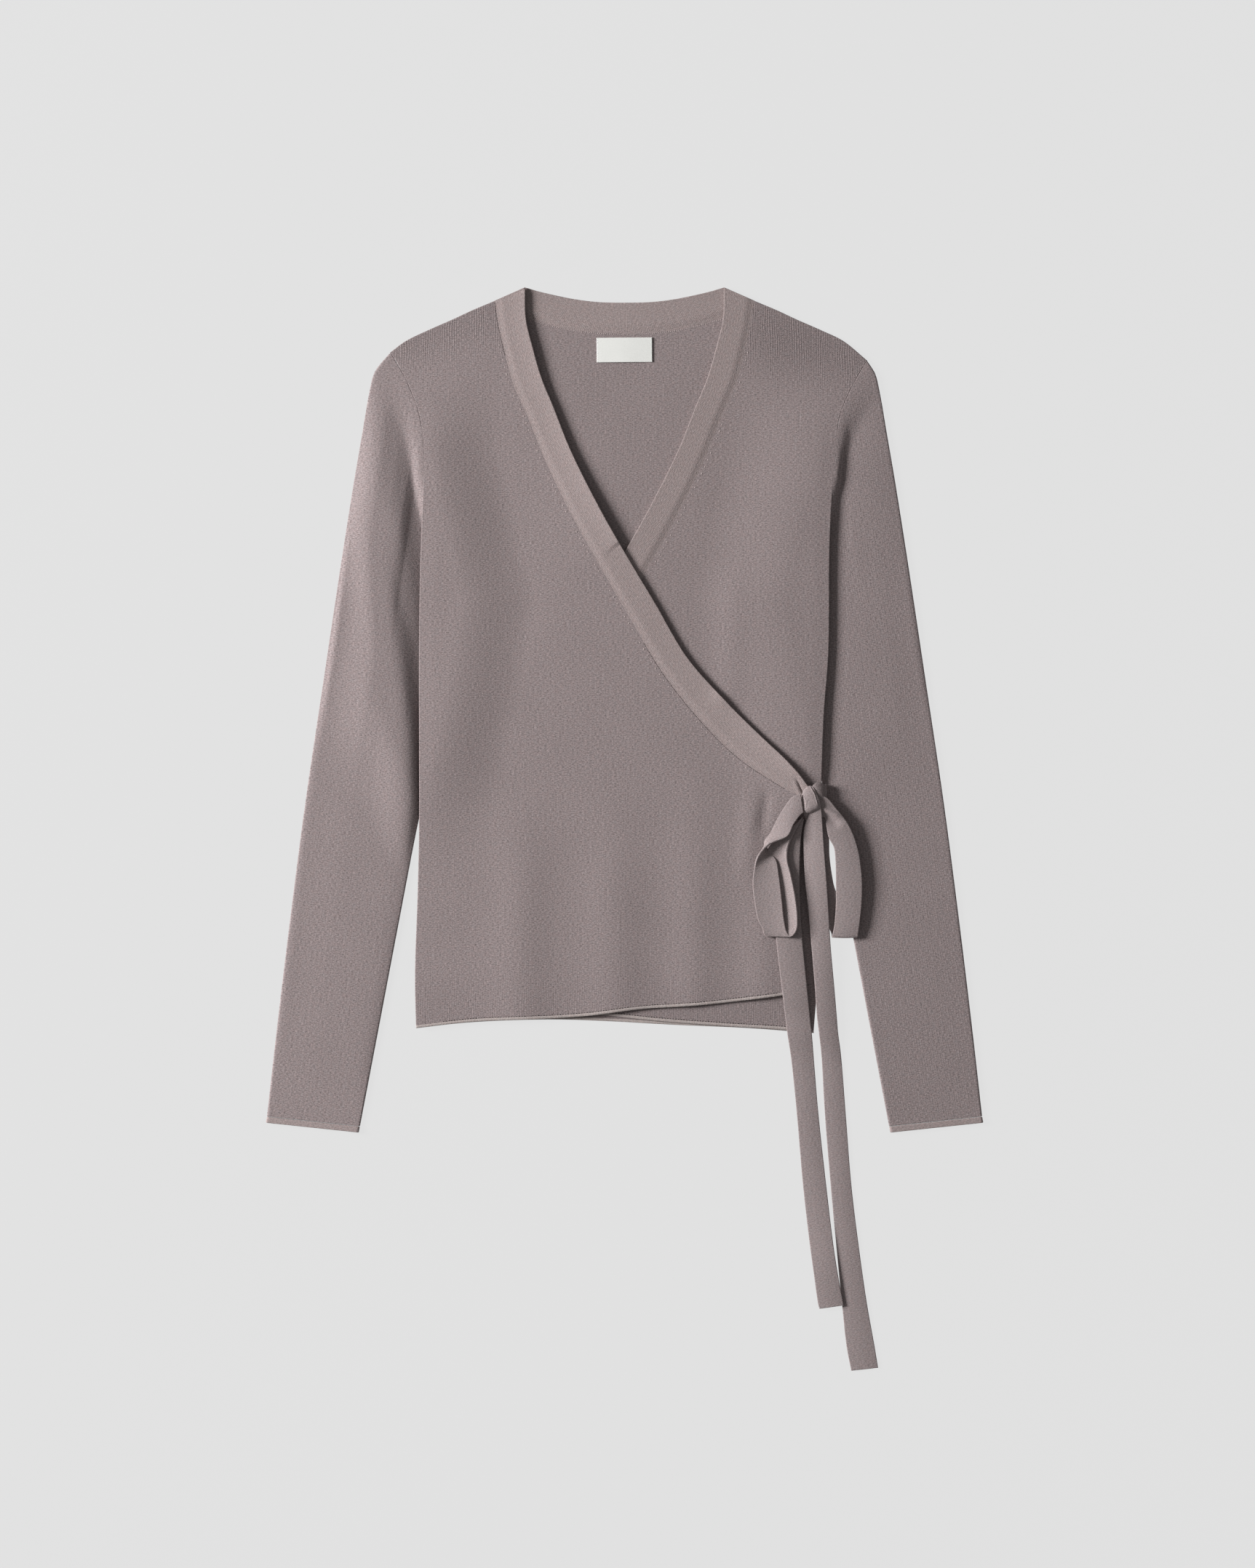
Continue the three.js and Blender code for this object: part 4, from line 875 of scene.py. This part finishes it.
def tie_strip(name, rows, start=(0, 0, 0), count=220, ribs=0.15, turned=None, creases=()):
    """A doubled strip between its two edges, a little fuller along its middle.

    turned is the strip's true width and the direction that the rest of it takes below the
    second edge, from a share of the length on.
    """
    rows = np.array(rows) * MM
    share = shares(count, length=0.3)
    edges = []
    for first in (0, 3):
        line = smooth(rows[:, first:first + 3] + start, 24)
        place = share * (len(line) - 1)
        edge = np.stack([np.interp(place, np.arange(len(line)), column) for column in line.T], -1)
        edge[:, 2] = np.maximum(edge[:, 2], TIE / 2)
        edges.append(edge[:, None])
    near, far = edges
    chord = np.linalg.norm(far - near, axis=-1, keepdims=True)
    rest, last = np.zeros_like(chord), far
    if turned:
        full_width, direction, begin, end = turned
        held = ease(begin, begin + 0.08, share) * ease(1.0, end, share)
        rest = np.maximum(full_width - chord, 0) * held[:, None, None]
        last = far + rest * np.array(direction)
    straight = (near + last) / 2
    bend = straight + (far - straight) * np.clip(rest / (6 * MM), 0, 1)
    across = shares(count=17, length=18 * MM)[:, None]
    grid = (1 - across) ** 2 * near + 2 * across * (1 - across) * bend + across**2 * last
    normal = unit(np.cross(np.gradient(grid, axis=1), np.gradient(grid, axis=0)))
    normal *= np.where(normal[..., 2:].mean() < 0, -1, 1)
    reach = np.broadcast_to(distances(grid[:, PATTERN_COLUMN])[:, None], grid.shape[:2])
    width = chord + rest
    pattern = np.dstack([(width * across)[..., 0], reach])
    full = CROWN * np.minimum(1, width / (10 * MM)) * 4 * across * (1 - across)
    grid = grid + normal * full
    grid[..., 2] += folds(creases, grid[..., 0], grid[..., 1]) * ease(0.3, 0.2, share)[:, None]
    return wall(name, grid, TIE, tie_knit, pattern, ribs=ribs)


# Each tie's flat size, then how it is made
ABOVE_FLOOR = (KNOT[0], KNOT[1], 0)
FOLDED_BACK = (19 * MM, (-1, 0, 0), 0.45, 0.86)
TIES = {
    "bow_loop_inner": ((0.020, 0.252), dict(rows=LOOP_INNER, start=ABOVE_FLOOR, turned=FOLDED_BACK)),
    "bow_loop_outer": ((0.019, 0.245), dict(rows=LOOP_OUTER, start=ABOVE_FLOOR, creases=LOOP_CREASES)),
    "tie_tail_long": ((0.018, 0.455), dict(rows=TAIL_LONG)),
    "tie_tail_short": ((0.019, 0.402), dict(rows=TAIL_SHORT)),
    "tie_rear_strap": ((0.014, 0.015), dict(rows=REAR_STRAP, count=60, ribs=0.9)),
}
for word, (flat, form) in TIES.items():
    piece = tie_strip(f"{word}_knit", **form)
    sewn(piece, word)


# The knot is one turn of the tie pulled tight. The band runs down into it from the shoulder
# side, its edge rolls over along the right of the turn, and the turn creases where it bends.

KNOT_HALF = 5.0 * MM
KNOT_AROUND, KNOT_DOWN = 160, 84

# Outline of the knot seen from above, measured from its middle: x, y
KNOT_OUTLINE = [
    (7.4, -3.0), (6.3, 2.2), (4.4, 6.6), (2.0, 11.0), (-1.1, 12.2), (-5.6, 9.2), (-7.6, 4.4),
    (-7.0, -4.0), (-5.6, -9.6), (-1.6, -10.2), (2.6, -8.8), (6.6, -6.6),
]

# Creases of the knot, as for the soft folds of a front
KNOT_FOLDS = [
    (150.6, 36.6, 155.6, 27.6, 0.45, 0.35), (154.4, 30.4, 157.4, 19.6, 0.45, 0.35),
    (149.4, 35.8, 154.2, 27.0, 0.4, 0.35), (153.0, 29.8, 156.2, 18.6, 0.4, 0.35),
    (150.0, 36.2, 154.9, 27.3, -0.35, 0.3), (153.7, 30.1, 156.8, 19.1, -0.35, 0.3),
    (144.0, 28.0, 147.0, 20.8, 0.35, 0.5), (146.8, 23.4, 145.6, 14.6, 0.35, 0.5),
    (147.4, 21.4, 151.4, 22.4, 0.22, 0.3), (147.6, 19.9, 151.8, 20.6, 0.22, 0.3),
    (147.6, 18.4, 151.8, 18.8, 0.22, 0.3), (147.2, 16.9, 151.2, 17.1, 0.2, 0.3),
]
outline = np.array(KNOT_OUTLINE) * MM
knot_ring = smooth(np.vstack([outline[-2:], outline, outline[:3]]), 16)[32:-32]
knot_ring = at(knot_ring, np.linspace(0, 1, KNOT_AROUND + 1))[:-1]
level = np.linspace(0, np.pi, KNOT_DOWN)[:, None]
full = np.sin(level) ** 0.62
off_x, off_y = knot_ring[:, 0] * full, knot_ring[:, 1] * full
knot_x, knot_y = KNOT[0] + off_x, KNOT[1] + off_y
lean = (off_y * 0.86 - off_x * 0.5) / (11 * MM)
knot_z = KNOT[2] + KNOT_HALF * np.cos(level) * (0.8 - 0.3 * lean)
knot_z = knot_z + folds(KNOT_FOLDS, knot_x, knot_y) * np.clip(3 * np.cos(level), 0, 1)
points = np.dstack([knot_x, knot_y, knot_z]).reshape(-1, 3)
faces = grid_faces(grid_numbers(KNOT_DOWN, KNOT_AROUND, around=True))
knot_mesh = quad_mesh("tie_knot_knit", points, faces, points[:, :2], np.full(len(points), 0.2))
knot_mesh.materials.append(tie_knit)
knot = new_object("tie_knot_knit", knot_mesh)
weld = knot.modifiers.new("weld", "WELD")
weld.merge_threshold = 1e-6
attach(knot, "root")
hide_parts("tie_knot")


# Rows of small stitches show where the pieces are linked: marks of the shaping beside the
# wrap bands, stitches below the top band, along the armholes and the back neck, and at both
# ends of the label. Above the trims, near-black beads are painted shade for the gaps of the
# linking row.

# Each row's spacing, then the length, width and height of a stitch
STITCH_SIZES = {
    "fashioning_marks": (6.05, 1.5, 1.0, 0.45),
    "band_link_stitches": (1.9, 1.7, 0.55, 0.4),
    "trim_link_shade_dots": (2.2, 1.3, 0.8, 0.4),
    "armhole_stitches": (3.0, 0.9, 0.7, 0.3),
    "back_neck_stitches": (1.6, 1.2, 0.7, 0.5),
    "label_stitches": (1.6, 0.9, 0.5, 0.3),
}
SMALLEST, LARGEST, SEED = 0.8, 1.2, 7


def row_of_stitches():
    """Lays small rounded stitches end to end along lines, each turned to its line."""
    tree = bpy.data.node_groups.new("row of stitches", "GeometryNodeTree")
    wanted = {"Line": "Geometry", "Spacing": "Float", "Size": "Vector", "Thread": "Material"}
    for word, kind in wanted.items():
        tree.interface.new_socket(name=word, in_out="INPUT", socket_type="NodeSocket" + kind)
    tree.interface.new_socket(name="Stitches", in_out="OUTPUT", socket_type="NodeSocketGeometry")
    given = node(tree, "NodeGroupInput").outputs
    curve = node(tree, "GeometryNodeMeshToCurve", given["Line"]).outputs[0]
    spacing = {"Length": given["Spacing"]}
    evenly = node(tree, "GeometryNodeResampleCurve", curve, mode="LENGTH", named=spacing)
    bead = {"Segments": 8, "Rings": 5, "Radius": 0.5}
    bead = node(tree, "GeometryNodeMeshUVSphere", named=bead).outputs[0]
    rounded = node(tree, "GeometryNodeSetShadeSmooth", bead).outputs[0]
    line = {"Vector": node(tree, "GeometryNodeInputTangent").outputs[0]}
    turn = node(tree, "FunctionNodeAlignRotationToVector", axis="X", named=line).outputs[0]
    chance = {2: SMALLEST, 3: LARGEST, "Seed": SEED}
    uneven = node(tree, "FunctionNodeRandomValue", data_type="FLOAT", named=chance).outputs[1]
    laid = {"Instance": rounded, "Rotation": turn, "Scale": scaled(tree, given["Size"], uneven)}
    laid = node(tree, "GeometryNodeInstanceOnPoints", evenly.outputs[0], named=laid)
    real = node(tree, "GeometryNodeRealizeInstances", laid.outputs[0]).outputs[0]
    finished = node(tree, "GeometryNodeSetMaterial", real, named={"Material": given["Thread"]})
    node(tree, "NodeGroupOutput", finished.outputs[0])
    return tree


def sewing_yarn(name, shade):
    """Plain yarn whose tone varies a little from stitch to stitch."""
    material, tree, shader = new_finish(name)
    place = node(tree, "ShaderNodeTexCoord").outputs["Object"]
    tone = calc(tree, "MULTIPLY_ADD", noise(tree, place, scale=400), 0.5, 0.75)
    colour = scaled(tree, shade, tone)
    wire(tree, shader, {"Base Color": colour, "Roughness": 0.85, "Specular IOR Level": 0.2})
    return material


STITCHES = row_of_stitches()
light_yarn = sewing_yarn("link_yarn_light", (0.40, 0.335, 0.325))
# Near-black yarn: painted shade for the gaps of the linking row above the trims.
shade_dot_yarn = sewing_yarn("link_yarn_painted_shade", (0.055, 0.045, 0.044))
seam_yarn = sewing_yarn("link_yarn_seam", (0.12, 0.098, 0.096))
white_thread = sewing_yarn("label_thread", (0.80, 0.80, 0.77))


def on_cloth(line, height):
    """A line in plan laid on the top of a layer of cloth."""
    return np.column_stack([line, height(line[:, 0], line[:, 1]) + CLOTH / 2])


def stitches(name, lines, thread):
    """One piece of stitches along several lines."""
    edges, first = [], 0
    for line in lines:
        edges += [(first + i, first + i + 1) for i in range(len(line) - 1)]
        first += len(line)
    mesh = bpy.data.meshes.new(name)
    mesh.from_pydata(np.vstack(lines).tolist(), edges, [])
    piece = new_object(name, mesh)
    laid = piece.modifiers.new("stitches", "NODES")
    laid.node_group = STITCHES
    spacing, *size = np.array(STITCH_SIZES[name]) * MM
    values = {"Spacing": spacing, "Size": size, "Thread": thread}
    for socket in STITCHES.interface.items_tree:
        if socket.name in values:
            laid[socket.identifier] = values[socket.name]
    bpy.context.view_layer.update()
    made = piece.evaluated_get(bpy.context.evaluated_depsgraph_get())
    piece_mesh = bpy.data.meshes.new_from_object(made)
    piece.modifiers.remove(laid)
    piece.data = piece_mesh
    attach(piece, "root")


def between(line, low, high):
    """The part of a line that lies between two heights up the body."""
    return line[(line[:, 1] > low * MM) & (line[:, 1] < high * MM)]


marks = []
for word, low in (("right", 46), ("left", 216)):
    front = FRONTS[word]
    line = between(beside(front["seam"], -front["side"] * 3 * MM), low, 392)
    marks.append(on_cloth(line, front["height"]))
stitches("fashioning_marks", marks, light_yarn)

band_seam = beside(FRONTS["right"]["seam"], 0.75 * MM)
links = [on_cloth(between(band_seam, *part), top_height) for part in ((33, 150), (384, 426))]
stitches("band_link_stitches", links, seam_yarn)

# Near-black beads above the trims paint the shade in the gaps of the linking row.
links = []
for front in reversed(FRONTS.values()):
    line = front["hem_line"] + (0, TRIM_WIDTH + 0.2 * MM)
    links.append(on_cloth(line[8:-8], front["height"]))
stitches("trim_link_shade_dots", links, shade_dot_yarn)

seams = []
for side, rows in ((-1, SIDE_RIGHT), (1, SIDE_LEFT)):
    line = between(beside(border(rows, side), side * 0.9 * MM), 322, 378)
    seams.append(on_cloth(line, front_height))
stitches("armhole_stitches", seams, light_yarn)

neck_line = beside(neck_seam, 0.9 * MM)[12:-12]
stitches("back_neck_stitches", [on_cloth(neck_line, back_height)], light_yarn)

label_ends = [label_grid[3:-3, column] + (0, 0, LABEL_THICKNESS / 2) for column in (3, -4)]
stitches("label_stitches", label_ends, white_thread)


# The set: a plain pale floor, a large soft light from the left and a camera straight above.

LENS, SENSOR, DISTANCE = 100, 36, 3.53
CAMERA_X, CAMERA_Y = 2.4 * MM, 36.6 * MM
FLOOR_REACH = 12
FLOOR_GLOW = 0.965
WINDOW = dict(place=(-3.9, 0.95, 1.9), size=1.45, power=355)
ROOM_LIGHT = 0.2


def pale_floor():
    """A floor that stays evenly pale, so that only a faint shadow falls on it."""
    material, tree, shader = new_finish("pale_floor")
    wire(tree, shader, {
        "Base Color": (0.03, 0.03, 0.03, 1),
        "Roughness": 1,
        "Specular IOR Level": 0,
        "Emission Color": (0.753, 0.753, 0.753, 1),
        "Emission Strength": FLOOR_GLOW,
    })
    return material


floor_mesh = bpy.data.meshes.new("floor")
corners = [(x * FLOOR_REACH, y * FLOOR_REACH, 0) for x, y in ((-1, -1), (1, -1), (1, 1), (-1, 1))]
floor_mesh.from_pydata(corners, [], [(0, 1, 2, 3)])
floor_mesh.materials.append(pale_floor())
floor = new_object("floor", floor_mesh)


def lamp(name, place, size, power):
    """A square soft light that faces the middle of the garment."""
    data = bpy.data.lights.new(name, "AREA")
    data.size, data.energy = size, power
    light = new_object(name, data)
    light.location = place
    light.rotation_euler = light.location.to_track_quat("Z", "Y").to_euler()


lamp("window", **WINDOW)
world = bpy.data.worlds.new("room")
world.use_nodes = True
wire(world.node_tree, world.node_tree.nodes["Background"].inputs, {0: (1, 1, 1, 1), 1: ROOM_LIGHT})
bpy.context.scene.world = world
bpy.context.scene.view_settings.view_transform = "Standard"

camera_data = bpy.data.cameras.new("camera")
camera_data.lens, camera_data.sensor_width = LENS, SENSOR
camera_data.clip_end = 100
camera = new_object("camera", camera_data)
camera.location = (CAMERA_X, CAMERA_Y, DISTANCE)
bpy.context.scene.camera = camera

bpy.context.view_layer.update()
